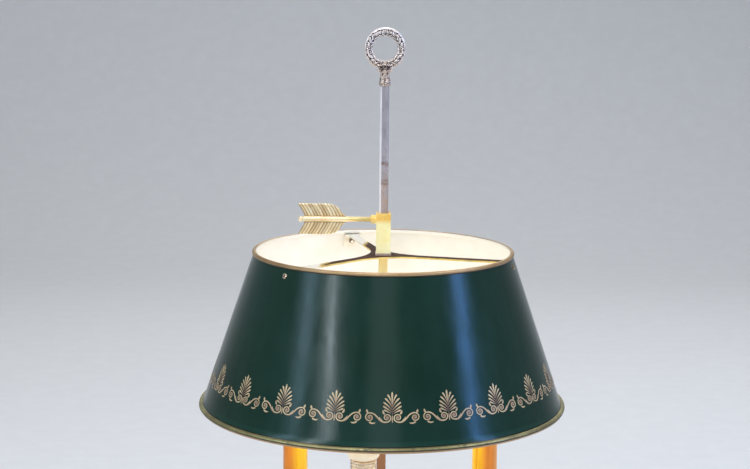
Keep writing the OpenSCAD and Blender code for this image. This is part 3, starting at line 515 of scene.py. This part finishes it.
def felt():
    m = Mat("felt")
    fibres = m.noise(900, 6, 0.8)
    m.set(Base_Color=m.tones(fibres, 0.35, 0.7, (0.028, 0.075, 0.038), (0.075, 0.15, 0.085)))
    m.set(Roughness=m.span(m.noise(40, 4, 0.6), 0.3, 0.7, 0.85, 1.0), Sheen_Weight=0.5, Sheen_Roughness=0.5)
    m.bump(fibres, 0.6, 0.0006)
    return m.material


def cast_iron():
    m = Mat("cast_iron")
    grain = m.noise(260, 7, 0.75)
    rust = m.noise(50, 6, 0.7)
    col = m.tones(grain, 0.35, 0.7, (0.022, 0.022, 0.024), (0.07, 0.068, 0.068))
    m.set(Base_Color=m.tones(rust, 0.56, 0.68, col, (0.15, 0.065, 0.03), 0.8), Metallic=0.5)
    m.set(Roughness=m.span(grain, 0.3, 0.7, 0.55, 0.8))
    m.bump(grain, 0.5, 0.0007)
    return m.material


def phenolic():
    """Brown moulded plastic, faintly marbled."""
    m = Mat("phenolic")
    marble = m.noise(70, 5, 0.6, distortion=1.2)
    fine = m.noise(500, 4, 0.6)
    m.set(Base_Color=m.tones(marble, 0.38, 0.66, (0.018, 0.010, 0.007), (0.060, 0.030, 0.018)))
    m.set(Roughness=m.span(fine, 0.3, 0.7, 0.22, 0.4))
    m.bump(fine, 0.06, 0.0002)
    return m.material


BRAID_PITCH = 5200.0                    # radians a metre, a thread every 1.2 mm


def insulation():
    """Braided sleeving: two crossed sets of fine threads."""
    m = Mat("insulation")
    x, y, z = m.xyz()
    one_way = m.math("SINE", m.times(m.plus(m.plus(x, y), z), BRAID_PITCH))
    other_way = m.math("SINE", m.times(m.minus(m.plus(x, y), z), BRAID_PITCH))
    weave = m.times(one_way, other_way)
    m.set(Base_Color=m.mix(m.span(weave, -0.4, 0.4), (0.10, 0.062, 0.035), (0.26, 0.18, 0.11)), Roughness=0.8)
    m.bump(weave, 0.5, 0.0003)
    return m.material


# one material for each material slot of the record
M = {
    "felt": felt(),
    "brass": brass("brass", (0.78, 0.55, 0.22), (0.50, 0.31, 0.095)),
    "gilt": brass("gilt", (0.92, 0.70, 0.33), (0.70, 0.46, 0.16), rough=(0.18, 0.36), grime_from=0.60, scale=1.6),
    "iron": cast_iron(),
    "phenolic": phenolic(),
    "steel": steel("steel", (0.56, 0.55, 0.56), (0.30, 0.29, 0.30)),
    "rod_steel": rod_steel(),
    "bronze": ring_bronze(),
    "spider_bronze": spider_bronze(),
    "tole": tole_outside(),
    "nickel": nickel(),
    "wax": wax(),
    "bulb_cream": cream_plastic(),
    "bulb_glass": frosted_glass(),
    "insulation": insulation(),
}
ARROW = arrow_gilt()
# nodes that have a finish of their own
OWN = {
    "arrow_screw": ARROW,
    "collar": collar_gilt(),
    "shade_nuts": steel("nut_steel", (0.30, 0.24, 0.185), (0.135, 0.105, 0.080), rough=(0.4, 0.6)),
}
INSIDE = tole_inside()
TOP_RIM = gilt_rim("gilt_top_rim", (0.56, 0.385, 0.205), (0.36, 0.225, 0.105), (0.050, 0.032, 0.014), 0.72,
                   line_z=0.4422, line_h=0.0013, bead=(TOP_R * MM, SHADE_Z * MM))
LOW_RIM = gilt_rim("gilt_low_rim", (0.40, 0.36, 0.165), (0.215, 0.185, 0.085), (0.038, 0.034, 0.018), 0.64,
                   line_z=0.2850, line_h=0.0008, under=(0.62, 0.36, 0.21))
GOLD = frieze_gold()
BROWN = frieze_brown()

for part in frame["record"]["subparts"]:
    obj = NODES[part["node"]]
    mat = OWN.get(part["node"], M[part["material_slot"]])
    if obj.material_slots:
        for s in obj.material_slots:
            s.material = mat
    else:
        obj.data.materials.append(mat)


# ---------------------------------------------------------------- mesh helpers
def new_piece(name, verts, faces, mats, body, face_mat=None, smooth=True, values=None):
    """A mesh that rides on a body; values is the name of an attribute and its value at each vertex."""
    me = bpy.data.meshes.new(name)
    me.from_pydata([tuple(v) for v in verts], [], faces)
    me.validate()
    for mt in mats:
        me.materials.append(mt)
    if face_mat is not None:
        me.polygons.foreach_set("material_index", face_mat)
    me.polygons.foreach_set("use_smooth", [smooth] * len(me.polygons))
    me.update()
    if values is not None:
        attribute = me.attributes.new(values[0], "FLOAT", "POINT")
        attribute.data.foreach_set("value", np.array(values[1], np.float32))
    ob = bpy.data.objects.new(name, me)
    bpy.context.scene.collection.objects.link(ob)
    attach(ob, body)
    return ob


def joined(parts):
    """One list of vertices, one of faces and one of values from several parts."""
    verts, faces, values = [], [], []
    for part_verts, part_faces, part_values in parts:
        base = len(verts)
        verts += part_verts
        faces += [tuple(base + k for k in face) for face in part_faces]
        values += part_values
    return verts, faces, values


def grid_faces(rows, cols, close_rows=False, close_cols=False):
    """Quads over a grid of rows by cols vertices, closed round in either way where that is asked."""
    faces = []
    for i in range(rows if close_rows else rows - 1):
        j = (i + 1) % rows
        for k in range(cols if close_cols else cols - 1):
            l = (k + 1) % cols
            faces.append((i * cols + k, j * cols + k, j * cols + l, i * cols + l))
    return faces


def flipped(quads):
    """The same quads facing the other way, each still from its first corner."""
    return [(a, d, c, b) for a, b, c, d in quads]


ROUND_STEPS = 360


def revolve(profile, swell=lambda a: 0.0):
    """A closed profile [(r, z)] in mm turned round the Z axis, with swell(angle) added to its radii."""
    verts = []
    for i in range(ROUND_STEPS):
        a = 2 * math.pi * i / ROUND_STEPS
        for r, z in profile:
            r += swell(a)
            verts.append((r * math.cos(a) * MM, r * math.sin(a) * MM, z * MM))
    return verts, grid_faces(ROUND_STEPS, len(profile), True, True)


# ---------------------------------------------------------------- shade: one closed sheet with two rolled rims
WALL_ROWS = 26
HEM_ROWS = 8
EDGE_ROW = 0.4                  # a row this far under the top keeps the bend of the edge out of the wall's shading
BEAD_STEPS = 40
ROLL_ANGLE, ROLL_WIDTH = 325, 13.0      # where the roll's edge shows on the bead, in degrees
ROLL_GROOVE = 0.55


def shade_piece():
    middle = [(TOP_R, SHADE_Z), (wall_r(SHADE_Z - EDGE_ROW), SHADE_Z - EDGE_ROW)]
    for i in range(1, WALL_ROWS + 1):
        z = SHADE_Z + (WALL_BOTTOM_Z - SHADE_Z) * i / WALL_ROWS
        middle.append((wall_r(z), z))
    for i in range(1, HEM_ROWS + 1):
        t = i / HEM_ROWS
        r = BOTTOM_R - HEM_OUT + HEM_H * SLOPE * t + (HEM_OUT - HEM_H * SLOPE) * t * t
        middle.append((r, WALL_BOTTOM_Z - HEM_H * t))
    outer = [(r + WALL / 2, z) for r, z in middle]
    inner = [(r - WALL / 2, z) for r, z in reversed(middle)]
    verts, faces = revolve(outer + inner)
    # enamel on the faces between the outer points, the inside's paint on all others
    face_mat = [0 if k < len(outer) - 1 else 1 for k in range(len(outer + inner))] * ROUND_STEPS
    ob = new_piece("shade_sheet", verts, faces, [M["tole"], INSIDE], "shade_group", face_mat)
    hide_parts("shade")


def rim_piece(name, r, z, d, mat, groove=0.0):
    """A rolled rim: a bead with the edge of its roll showing as a fine groove on the outside."""
    profile = []
    for i in range(BEAD_STEPS):
        a = 2 * math.pi * i / BEAD_STEPS
        bead = d / 2
        if groove:
            bead -= groove * math.exp(-((math.degrees(a) - ROLL_ANGLE) / ROLL_WIDTH) ** 2)
        profile.append((r + bead * math.cos(a), z + bead * math.sin(a)))
    # rolled by hand: the rim isn't quite round
    verts, faces = revolve(profile, lambda a: 0.10 * math.sin(7 * a + 1.3) * math.sin(3 * a) - 0.10)
    new_piece(name, verts, faces, [mat], "shade_group")


shade_piece()
rim_piece("top_rim", TOP_R, SHADE_Z, TOP_BEAD, TOP_RIM)
rim_piece("bottom_rim", BOTTOM_R, SHADE_Z - SHADE_H, BOTTOM_BEAD, LOW_RIM, ROLL_GROOVE)

# ---------------------------------------------------------------- frieze: palmettes on paired volutes, in gold paint
PALMETTES = 20
PHASE = math.radians(-90 + 3.1)         # azimuth of the front palmette
FRIEZE_Z = 309.2                        # height of the drawing's base line
FRIEZE_R = 174.0
PITCH_MM = 2 * math.pi * FRIEZE_R / PALMETTES


# The drawing is in mm: u along the frieze from the palmette's axis, v up from the base line. A stroke is a list
# of points (u, v, lift off the enamel, share of brown) and a list of faces.
def bezier(p, n):
    """n + 1 points of a curve with three or four control points."""
    out = []
    for i in range(n + 1):
        t = i / n
        if len(p) == 3:
            w = ((1 - t) ** 2, 2 * t * (1 - t), t * t)
        else:
            w = ((1 - t) ** 3, 3 * t * (1 - t) ** 2, 3 * t * t * (1 - t), t ** 3)
        out.append((sum(a * q[0] for a, q in zip(w, p)), sum(a * q[1] for a, q in zip(w, p))))
    return out


VOLUTE_TURN = -610                      # degrees
VOLUTE_STEPS = 60
VOLUTE_EYE = 0.55                       # radius at its inner end


def volute(centre, r0, start):
    """A spiral inwards from the radius r0 at the angle start."""
    out = []
    for i in range(VOLUTE_STEPS + 1):
        t = i / VOLUTE_STEPS
        a = math.radians(start + VOLUTE_TURN * t)
        r = r0 + (VOLUTE_EYE - r0) * t ** 0.9
        out.append((centre[0] + r * math.cos(a), centre[1] + r * math.sin(a)))
    return out


def ribbon(path, width, lift, tone=lambda t: 0.0):
    """A stroke along a path; width(t) is its half width and tone(t) how brown it is."""
    pts = []
    n = len(path)
    for i, p in enumerate(path):
        a, b = path[max(0, i - 1)], path[min(n - 1, i + 1)]
        dx, dy = b[0] - a[0], b[1] - a[1]
        ln = math.hypot(dx, dy) or 1.0
        t = i / (n - 1)
        w = width(t)
        pts.append((p[0] - dy / ln * w, p[1] + dx / ln * w, lift, tone(t)))
        pts.append((p[0] + dy / ln * w, p[1] - dx / ln * w, lift, tone(t)))
    return pts, [(2 * i, 2 * i + 1, 2 * i + 3, 2 * i + 2) for i in range(n - 1)]


DISC_STEPS = 12


def disc(centre, r, lift, tone=0.0):
    angles = [2 * math.pi * i / DISC_STEPS for i in range(DISC_STEPS)]
    ring = [(centre[0] + r * math.cos(a), centre[1] + r * math.sin(a), lift, tone) for a in angles]
    fan = [(0, 1 + i, 1 + (i + 1) % DISC_STEPS) for i in range(DISC_STEPS)]
    return [(centre[0], centre[1], lift, tone)] + ring, fan


LOBE_TIP = 0.84                         # from this share of its length on, a lobe is rounded off


def lobe_width(root, tip):
    def width(t):
        if t < LOBE_TIP:
            return root + (tip - root) * (t / LOBE_TIP) ** 1.2
        q = (t - LOBE_TIP) / (1 - LOBE_TIP)
        return tip * math.sqrt(max(0.0, 1 - q * q * 0.97))
    return width


def leaf_width(w):
    return lambda t: w * math.sin(math.pi * min(1.0, t * 0.97 + 0.03)) ** 0.8 + 0.05


# root, bend and tip of the five lobes on one side of the palmette, the upper one first
LOBES = [((0.15, 18.0), (1.5, 23.6), (4.5, 27.9)), ((0.25, 15.6), (2.6, 20.6), (7.0, 24.3)),
         ((0.40, 13.3), (3.6, 17.2), (8.5, 20.5)), ((0.70, 11.3), (4.3, 14.2), (8.9, 16.8)),
         ((1.20, 9.9), (4.4, 11.6), (8.1, 13.2))]
LOBE_STEPS = 14
INNER_VOLUTE, INNER_VOLUTE_R = (5.15, 5.75), 4.15
OUTER_VOLUTE, OUTER_VOLUTE_R = (21.3, 6.0), 4.30
STEM = [(5.15, 1.60), (13.6, 0.4), (13.4, 10.4), (21.3, 10.3)]
STEM_STEPS = 24
# control points, half width and tone of the small leaves
LEAVES = [
    ([(23.0, 10.0), (24.0, 11.6), (24.2, 13.7)], 0.95, 0.15),       # upright bud over the outer volute
    ([(22.0, 1.7), (18.6, -0.6), (15.6, 1.0)], 0.72, 0.2),          # tail leaf below it
    ([(6.9, 9.0), (8.9, 9.9), (8.9, 13.2)], 0.85, 0.2),             # leaf outside the inner volute
    ([(8.0, 1.9), (11.2, 3.0), (12.4, 6.8)], 0.80, 0.35),           # sheath on the stem
]


def half_motif():
    """Right half of one palmette and its scroll: the gold strokes and the brown ones."""
    gold, brown = [], []
    for k, lobe in enumerate(LOBES):
        path = bezier(lobe, LOBE_STEPS)
        width = lobe_width(0.16, 0.84 - 0.02 * k)
        gold.append(ribbon(path, width, 0.14 + 0.004 * k, lambda t: max(0, 1 - 1.7 * t)))
        # a brown line along the lower edge of each lobe
        low = [(x + 0.30 * i / LOBE_STEPS, y - 0.62 * (i / LOBE_STEPS) ** 0.8 - 0.1)
               for i, (x, y) in enumerate(path[:-2])]
        brown.append(ribbon(low, lambda t: 0.34 * (1 - t) + 0.12, 0.10))
    # both volutes and the stem between them in one stroke, brown towards the eyes
    stem = bezier(STEM, STEM_STEPS)
    scroll = list(reversed(volute(INNER_VOLUTE, INNER_VOLUTE_R, -90))) + stem[1:-1]
    scroll += volute(OUTER_VOLUTE, OUTER_VOLUTE_R, 90)
    gold.append(ribbon(scroll, lambda t: 0.27 + 0.27 * math.sin(math.pi * t) ** 0.9, 0.12,
                       lambda t: 0.9 * max(0.0, abs(2 * t - 1) - 0.45) / 0.55))
    # the shadow side of the stem
    shadow = [(x + 0.15, y - 0.75) for x, y in stem]
    brown.append(ribbon(shadow, lambda t: 0.16 + 0.34 * math.sin(math.pi * t), 0.10))
    for eye in (INNER_VOLUTE, OUTER_VOLUTE):
        gold.append(disc(eye, 0.80, 0.13, 0.75))
        brown.append(disc(eye, 2.1, 0.075))
    for path, width, tone in LEAVES:
        gold.append(ribbon(bezier(path, 9), leaf_width(width), 0.16, lambda t, tone=tone: tone))
    # the knob at the tail leaf's root
    gold.append(disc((20.7, 1.1), 0.95, 0.165, 0.2))
    return gold, brown


def paint_frieze(name, strokes, on_axis, mat):
    """Lay the strokes of the half motif, mirrored, and those on its axis round the shade."""
    verts, faces, tones = [], [], []
    for i in range(PALMETTES):
        for side in (1, -1):
            for pts, stroke_faces in strokes + (on_axis if side == 1 else []):
                base = len(verts)
                for u, v, lift, tone in pts:
                    z = FRIEZE_Z + v * math.cos(LEAN)
                    r = wall_r(z) + WALL / 2 / math.cos(LEAN) + lift
                    a = PHASE + (side * u + i * PITCH_MM) / FRIEZE_R
                    verts.append((r * math.cos(a) * MM, r * math.sin(a) * MM, z * MM))
                    tones.append(tone)
                for face in stroke_faces:
                    faces.append(tuple(base + k for k in (reversed(face) if side == 1 else face)))
    new_piece(name, verts, faces, [mat], "shade_group", smooth=False, values=("tone", tones))


def frieze():
    gold, brown = half_motif()
    top_lobe = ribbon(bezier([(0, 16), (0, 22), (0, 30.3)], LOBE_STEPS), lobe_width(0.2, 0.95), 0.17,
                      lambda t: max(0, 0.8 - 1.6 * t))
    drop = ribbon(bezier([(0, 0.8), (0, 4), (0, 9.5)], 10), leaf_width(0.62), 0.15, lambda t: 0.6)
    axis = ribbon(bezier([(0, 7.5), (0, 12), (0, 21)], 10), lambda t: 0.42 * (1 - t) + 0.06, 0.19)
    paint_frieze("shade_frieze", gold, [top_lobe, drop], GOLD)
    paint_frieze("shade_frieze_lines", brown, [axis], BROWN)


frieze()

# ---------------------------------------------------------------- ring finial: a wreath of leaves, a leafy calyx
WREATH_ROWS = 6                         # rows of leaves round the tube's section
WREATH_LEAVES = 38                      # leaves a row, round the whole ring
WREATH_SEED = 5
WREATH_STEPS, SECTION_STEPS = 480, 84
RING_MID_R, SECTION_HALF_W, SECTION_HALF_T = 16.85, 3.75, 2.95
RELIEF = 0.90                           # depth of the carving
BAND_HALF, BAND_EDGE = 0.66, 0.12       # plain band round the outside, in radians of the section
BAND_NOTCHES = 26


def chased(s, b, rng):
    """Height 0..1 of rows of slanting leaves on a tube: s runs 0..1 round the ring, b round its section."""
    row = np.floor(b / (2 * np.pi) * WREATH_ROWS)
    local = b / (2 * np.pi) * WREATH_ROWS - row
    slant = np.where(row % 2 == 0, 0.95, -0.95)
    jitter = rng.uniform(-0.30, 0.30, (WREATH_ROWS, WREATH_LEAVES + 1))
    sway = 0.30 * np.sin(2 * np.pi * s * 13 + 2.9 * row) + 0.20 * np.sin(2 * np.pi * s * 31 + 1.3 * row)
    u = s * WREATH_LEAVES + slant * (local - 0.5) + 0.37 * row + sway
    cell = np.floor(u)
    inner = u - cell
    at = (row.astype(int) % WREATH_ROWS, cell.astype(int) % WREATH_LEAVES)
    inner = np.clip((inner - 0.5) * (1.0 + jitter[at]) + 0.5, 0, 1)
    body = np.sin(np.pi * inner) ** 0.9
    tip = np.clip(np.sin(np.pi * np.clip(local * 1.06 - 0.03, 0, 1)), 0, 1) ** 0.22
    return np.clip(1.30 * body * tip - 0.26 + 0.60 * jitter[at], 0, 1)


def wreath():
    a = np.linspace(0, 2 * np.pi, WREATH_STEPS, endpoint=False)
    b = np.linspace(0, 2 * np.pi, SECTION_STEPS, endpoint=False)
    A, B = np.meshgrid(a, b, indexing="ij")
    # leaves mirror about the vertical, so that both halves of the wreath rise to the top
    folded = np.abs(((A + np.pi / 2) % (2 * np.pi)) - np.pi) / np.pi
    h = chased(folded * 0.5, B, np.random.default_rng(WREATH_SEED))
    # a plain band round the outside, notched by slanting cuts (b = 0 points outwards)
    outward = np.abs((B + np.pi) % (2 * np.pi) - np.pi)
    notch = 0.5 + 0.5 * np.cos(2 * np.pi * (folded * BAND_NOTCHES + 0.55 * outward))
    band = np.clip((BAND_HALF - outward) / BAND_EDGE, 0, 1) * (0.78 + 0.20 * notch)
    h = np.clip(np.maximum(h, band), 0, 1)
    # an oval section, raised along its normal
    nx, ny = np.cos(B) / SECTION_HALF_W, np.sin(B) / SECTION_HALF_T
    ln = np.hypot(nx, ny)
    R = RING_MID_R + SECTION_HALF_W * np.cos(B) + nx / ln * h * RELIEF
    Y = SECTION_HALF_T * np.sin(B) + ny / ln * h * RELIEF
    verts = np.stack([R * np.cos(A), Y, R * np.sin(A) + RING_Z], -1).reshape(-1, 3) * MM
    faces = flipped(grid_faces(WREATH_STEPS, SECTION_STEPS, True, True))
    return [tuple(v) for v in verts], faces, list(h.reshape(-1))


CALYX_H = 18.0
CALYX_STEPS, CALYX_AROUND = 84, 144
# share of the height, and the radius there
CALYX_PROFILE = ((0.0, 0.05, 0.20, 0.50, 0.70, 0.86, 1.0), (4.7, 5.4, 5.5, 4.45, 4.45, 5.3, 5.9))
CALYX_LEAVES = 6                        # in each of two tiers
UPPER_TIER, LOWER_TIER_H, UPPER_TIER_H = 0.46, 0.50, 0.46


def calyx():
    """A turned body with two tiers of leaves that rise from its foot."""
    verts, relief = [], []
    for i in range(CALYX_AROUND):
        ang = 2 * math.pi * i / CALYX_AROUND
        for k in range(CALYX_STEPS + 1):
            t = k / CALYX_STEPS
            upper = t > UPPER_TIER
            local = (t - UPPER_TIER) / UPPER_TIER_H if upper else t / LOWER_TIER_H
            phase = math.pi if upper else 0.0
            # each leaf narrows to its tip, with a vein down its middle
            across = abs(((CALYX_LEAVES * ang + phase) / (2 * math.pi) + 0.5) % 1.0 - 0.5) * 2
            half = max(0.02, 1.0 - 0.62 * max(0.0, local) ** 1.6) if local < 1 else 0.02
            edge = max(0.0, 1 - (across / half) ** 2)
            vein = math.exp(-(across / 0.12) ** 2)
            ribs = 0.14 * math.cos(26 * local + 9 * across)
            h = max(0.0, math.sqrt(edge) * (0.55 + 0.45 * min(1.0, local)) - 0.40 * vein * edge + ribs * edge)
            fleck = 0.42 * math.sin(38 * t + 2 * math.sin(6 * ang)) * math.cos(13 * ang + 15 * t)
            r = float(np.interp(t, *CALYX_PROFILE)) + 0.80 * h + 0.30 * fleck
            verts.append((r * math.cos(ang) * MM, r * math.sin(ang) * MM, (ROD_TOP_Z + CALYX_H * t) * MM))
            relief.append(max(0.0, min(1.0, 0.26 + 0.50 * h + fleck)))
    faces = grid_faces(CALYX_AROUND, CALYX_STEPS + 1, close_rows=True)
    foot = tuple(i * (CALYX_STEPS + 1) for i in reversed(range(CALYX_AROUND)))
    return verts, faces + [foot], relief


CURL_X, CURL_Z, CURL_R = 5.9, ROD_TOP_Z + 15.2, 1.95


def curl(side):
    """A small curled leaf tip where the ring meets the calyx."""
    verts, relief = [], []
    bm = bmesh.new()
    bmesh.ops.create_icosphere(bm, subdivisions=3, radius=CURL_R)
    bm.verts.index_update()
    for v in bm.verts:
        q = v.co
        swirl = 1 + 0.14 * math.sin(5 * math.atan2(q.z, q.x) + 2 * q.y)
        verts.append(((side * CURL_X + q.x * swirl) * MM, 0.85 * q.y * MM,
                      (CURL_Z + 0.72 * q.z * swirl + 0.22 * side * q.x) * MM))
        relief.append(min(1.0, 0.4 + 0.6 * (swirl - 0.86) / 0.28))
    faces = [tuple(v.index for v in f.verts) for f in bm.faces]
    bm.free()
    return verts, faces, relief


def ring_piece():
    verts, faces, relief = joined([wreath(), calyx(), curl(-1), curl(1)])
    ob = new_piece("ring_wreath", verts, faces, [M["bronze"]], "stand", values=("relief", relief))
    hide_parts("ring_finial")


ring_piece()

# ---------------------------------------------------------------- arrow: a quill with two vanes of overlapping barbs
# x is the lamp's own, with the quill on its negative side; z runs up from the quill's axis
QUILL = [(-5.05, 0.0), (-5.05, 2.35), (-5.3, 2.55), (-34.0, 2.55), (-41.0, 2.92), (-60.0, 2.98), (-81.5, 2.95),
         (-83.2, 2.70)]                 # (x, radius)
QUILL_AROUND = 40
NOCK_X, NOCK_R = -85.15, 2.85           # ball at the end
VANE_TOP, VANE_ARC_X, VANE_BACK_X, VANE_FRONT_X = 16.0, -57.3, -81.0, -38.5
VANE_FOOT = ((2.04, 3.26, 6.51), (-36.6, -38.8, -42.7))     # heights, and the front's x there
VANE_ROOT = 1.6                         # the vane starts inside the quill
VANE_ROWS, BARB_COLS = 12, 10
BARBS = 13
BARB_SEED = 11


def vane_front(z):
    """The furthest x of the vane's outline at a height above the quill's axis."""
    if z >= VANE_FOOT[0][-1]:
        return VANE_ARC_X + math.sqrt(max(0.0, VANE_TOP ** 2 - z * z))
    return float(np.interp(z, *VANE_FOOT))


def barb_x(x0, z):
    """A barb leans back from its root on the quill, and more so towards its tip."""
    up = max(0.0, z - 3.0)
    return x0 - 0.40 * up - 0.0125 * up * up


def quill():
    nock = [math.radians(a) for a in range(135, -1, -15)]
    profile = QUILL + [(NOCK_X - NOCK_R * math.cos(a), NOCK_R * math.sin(a)) for a in nock]
    around = [2 * math.pi * i / QUILL_AROUND for i in range(QUILL_AROUND)]
    verts = [(x, r * math.cos(a), r * math.sin(a)) for x, r in profile for a in around]
    faces = flipped(grid_faces(len(profile), QUILL_AROUND, close_cols=True))
    return verts, faces, [1.0] * len(verts)


def vane(side, weights):
    """The vane above (side 1) or below (side -1) the quill: a thin closed wedge, ridged by its barbs."""
    verts, relief = [], []
    cols = BARBS * BARB_COLS
    for c in range(cols + 1):
        t = c / cols
        x0 = VANE_BACK_X + (VANE_FRONT_X - VANE_BACK_X) * t
        top = 2.2
        while top < VANE_TOP and barb_x(x0, top + 0.1) < vane_front(top + 0.1):
            top += 0.1
        # across a barb the ridge rises, and a cut parts it from the next
        f = (t * BARBS) % 1.0
        cut = min(1.0, (1 - f) / 0.16) * min(1.0, f / 0.10)
        ridge = (0.35 + 0.65 * f ** 0.7) * cut * weights[min(BARBS, int(t * BARBS))]
        top = max(2.4, min(VANE_TOP, top) - 0.55 * (1 - cut))
        front, back = [], []
        for row in range(VANE_ROWS + 1):
            v = row / VANE_ROWS
            z = VANE_ROOT + (top - VANE_ROOT) * v
            clear = min(1.0, max(0.0, (z - 2.9) / 1.1))
            thick = (0.42 + 0.86 * ridge * clear) * (1 - 0.45 * v ** 4)
            front.append((barb_x(x0, z), -thick, side * z))
            back.append((barb_x(x0, z), thick, side * z))
            relief.append(ridge * (0.30 + 0.70 * clear))
        verts += front + back[::-1]
        relief += relief[-len(back):][::-1]
    n = 2 * (VANE_ROWS + 1)
    faces = grid_faces(cols + 1, n, close_cols=True)
    faces += [tuple(reversed(range(n))), tuple(cols * n + k for k in range(n))]
    return verts, faces if side == 1 else [tuple(reversed(q)) for q in faces], relief


def arrow_piece():
    weights = np.random.default_rng(BARB_SEED).uniform(0.55, 1.0, BARBS + 1)
    verts, faces, relief = joined([quill(), vane(1, weights), vane(-1, weights)])
    verts = [(x * MM, y * MM, (z + ARROW_Z) * MM) for x, y, z in verts]
    ob = new_piece("arrow_feather", verts, faces, [ARROW], "arrow", values=("relief", relief))
    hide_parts("arrow_screw")


arrow_piece()

# ---------------------------------------------------------------- floor, backdrop and light, in metres
STAGE_HALF_W = 6.0
FLOOR_FRONT, FLOOR_BACK = -6.0, 2.2
COVE_R, COVE_STEPS = 1.2, 12
BACKDROP_TOP = 5.0


def stage():
    """A floor that curves up into a backdrop."""
    profile = [(FLOOR_FRONT, 0.0), (FLOOR_BACK, 0.0)]
    for i in range(1, COVE_STEPS + 1):
        a = math.radians(90 * i / COVE_STEPS)
        profile.append((FLOOR_BACK + COVE_R * math.sin(a), COVE_R - COVE_R * math.cos(a)))
    profile.append((FLOOR_BACK + COVE_R, BACKDROP_TOP))
    verts = [(x, y, z) for x in (-STAGE_HALF_W, STAGE_HALF_W) for y, z in profile]
    me = bpy.data.meshes.new("floor")
    me.from_pydata(verts, [], grid_faces(2, len(profile)))
    me.polygons.foreach_set("use_smooth", [True] * len(me.polygons))
    ob = bpy.data.objects.new("floor", me)
    bpy.context.scene.collection.objects.link(ob)
    m = Mat("floor_paper")
    m.set(Base_Color=m.tones(m.noise(30, 4, 0.6), 0.4, 0.7, (0.74, 0.74, 0.735), (0.765, 0.765, 0.76)),
          Roughness=0.8)
    me.materials.append(m.material)


stage()

AIM_AT = Vector((0, 0, 0.36))


def add_light(name, kind, power, colour):
    data = bpy.data.lights.new(name, kind)
    data.energy = power
    data.color = colour
    ob = bpy.data.objects.new(name, data)
    bpy.context.scene.collection.objects.link(ob)
    return ob


def area(name, azimuth, elevation, distance, width, height, power, colour=(1, 1, 1), roll=0):
    """A soft light at an azimuth from the front (positive to the right) and an elevation, aimed at the shade.

    A positive roll leans its upper end to the left.
    """
    ob = add_light(name, "AREA", power, colour)
    ob.data.shape = "RECTANGLE"
    ob.data.size, ob.data.size_y = width, height
    a, e = math.radians(azimuth), math.radians(elevation)
    place = AIM_AT + distance * Vector((math.sin(a) * math.cos(e), -math.cos(a) * math.cos(e), math.sin(e)))
    aim = (AIM_AT - place).to_track_quat("-Z", "Y").to_matrix().to_4x4()
    ob.matrix_world = Matrix.Translation(place) @ aim @ Matrix.Rotation(math.radians(roll), 4, "Z")


area("key", -20, 58, 2.6, 1.5, 1.2, 34)
area("fill", 75, 40, 2.6, 1.4, 1.4, 16)
area("back", 170, 45, 2.6, 1.6, 1.0, 20)
# lights that the enamel shows as streaks, a sheen and a glint
area("streak_left", -43.5, 24.3, 2.4, 0.12, 1.5, 10.0, (0.80, 0.91, 1.0), 56)
area("streak_left_soft", -70, 24.3, 2.4, 0.22, 1.5, 6.7, (0.50, 0.76, 1.0), 64)
area("streak_right", 72, 24.3, 2.4, 0.30, 1.5, 15.0, (0.16, 0.40, 1.0), -56)
area("sheen", 1, 28.2, 2.4, 0.80, 1.1, 2.3, (0.82, 1.0, 1.0))
area("glint_right", 66, 44, 2.4, 0.40, 0.16, 5.0, (0.84, 0.86, 1.0))

# the bulbs' light inside the shade, nearer to the axis than the bulbs are
GLOW_R, GLOW_Z = 0.080, 0.300
for k, az in enumerate(LIGHT_AZIMUTHS):
    a = math.radians(az)
    glow = add_light("glow_%d" % k, "POINT", 0.23, (1.0, 0.91, 0.78))
    glow.data.shadow_soft_size = 0.012
    glow.location = (GLOW_R * math.cos(a), GLOW_R * math.sin(a), GLOW_Z)

world = bpy.data.worlds.new("world")
bpy.context.scene.world = world
world.use_nodes = True
wt = world.node_tree
wt.nodes.clear()
background = wt.nodes.new("ShaderNodeBackground")
background.inputs["Color"].default_value = (0.42, 0.43, 0.45, 1)
background.inputs["Strength"].default_value = 0.6
world_out = wt.nodes.new("ShaderNodeOutputWorld")
wt.links.new(background.outputs[0], world_out.inputs[0])

bpy.context.scene.view_settings.view_transform = "Standard"

bpy.context.view_layer.update()
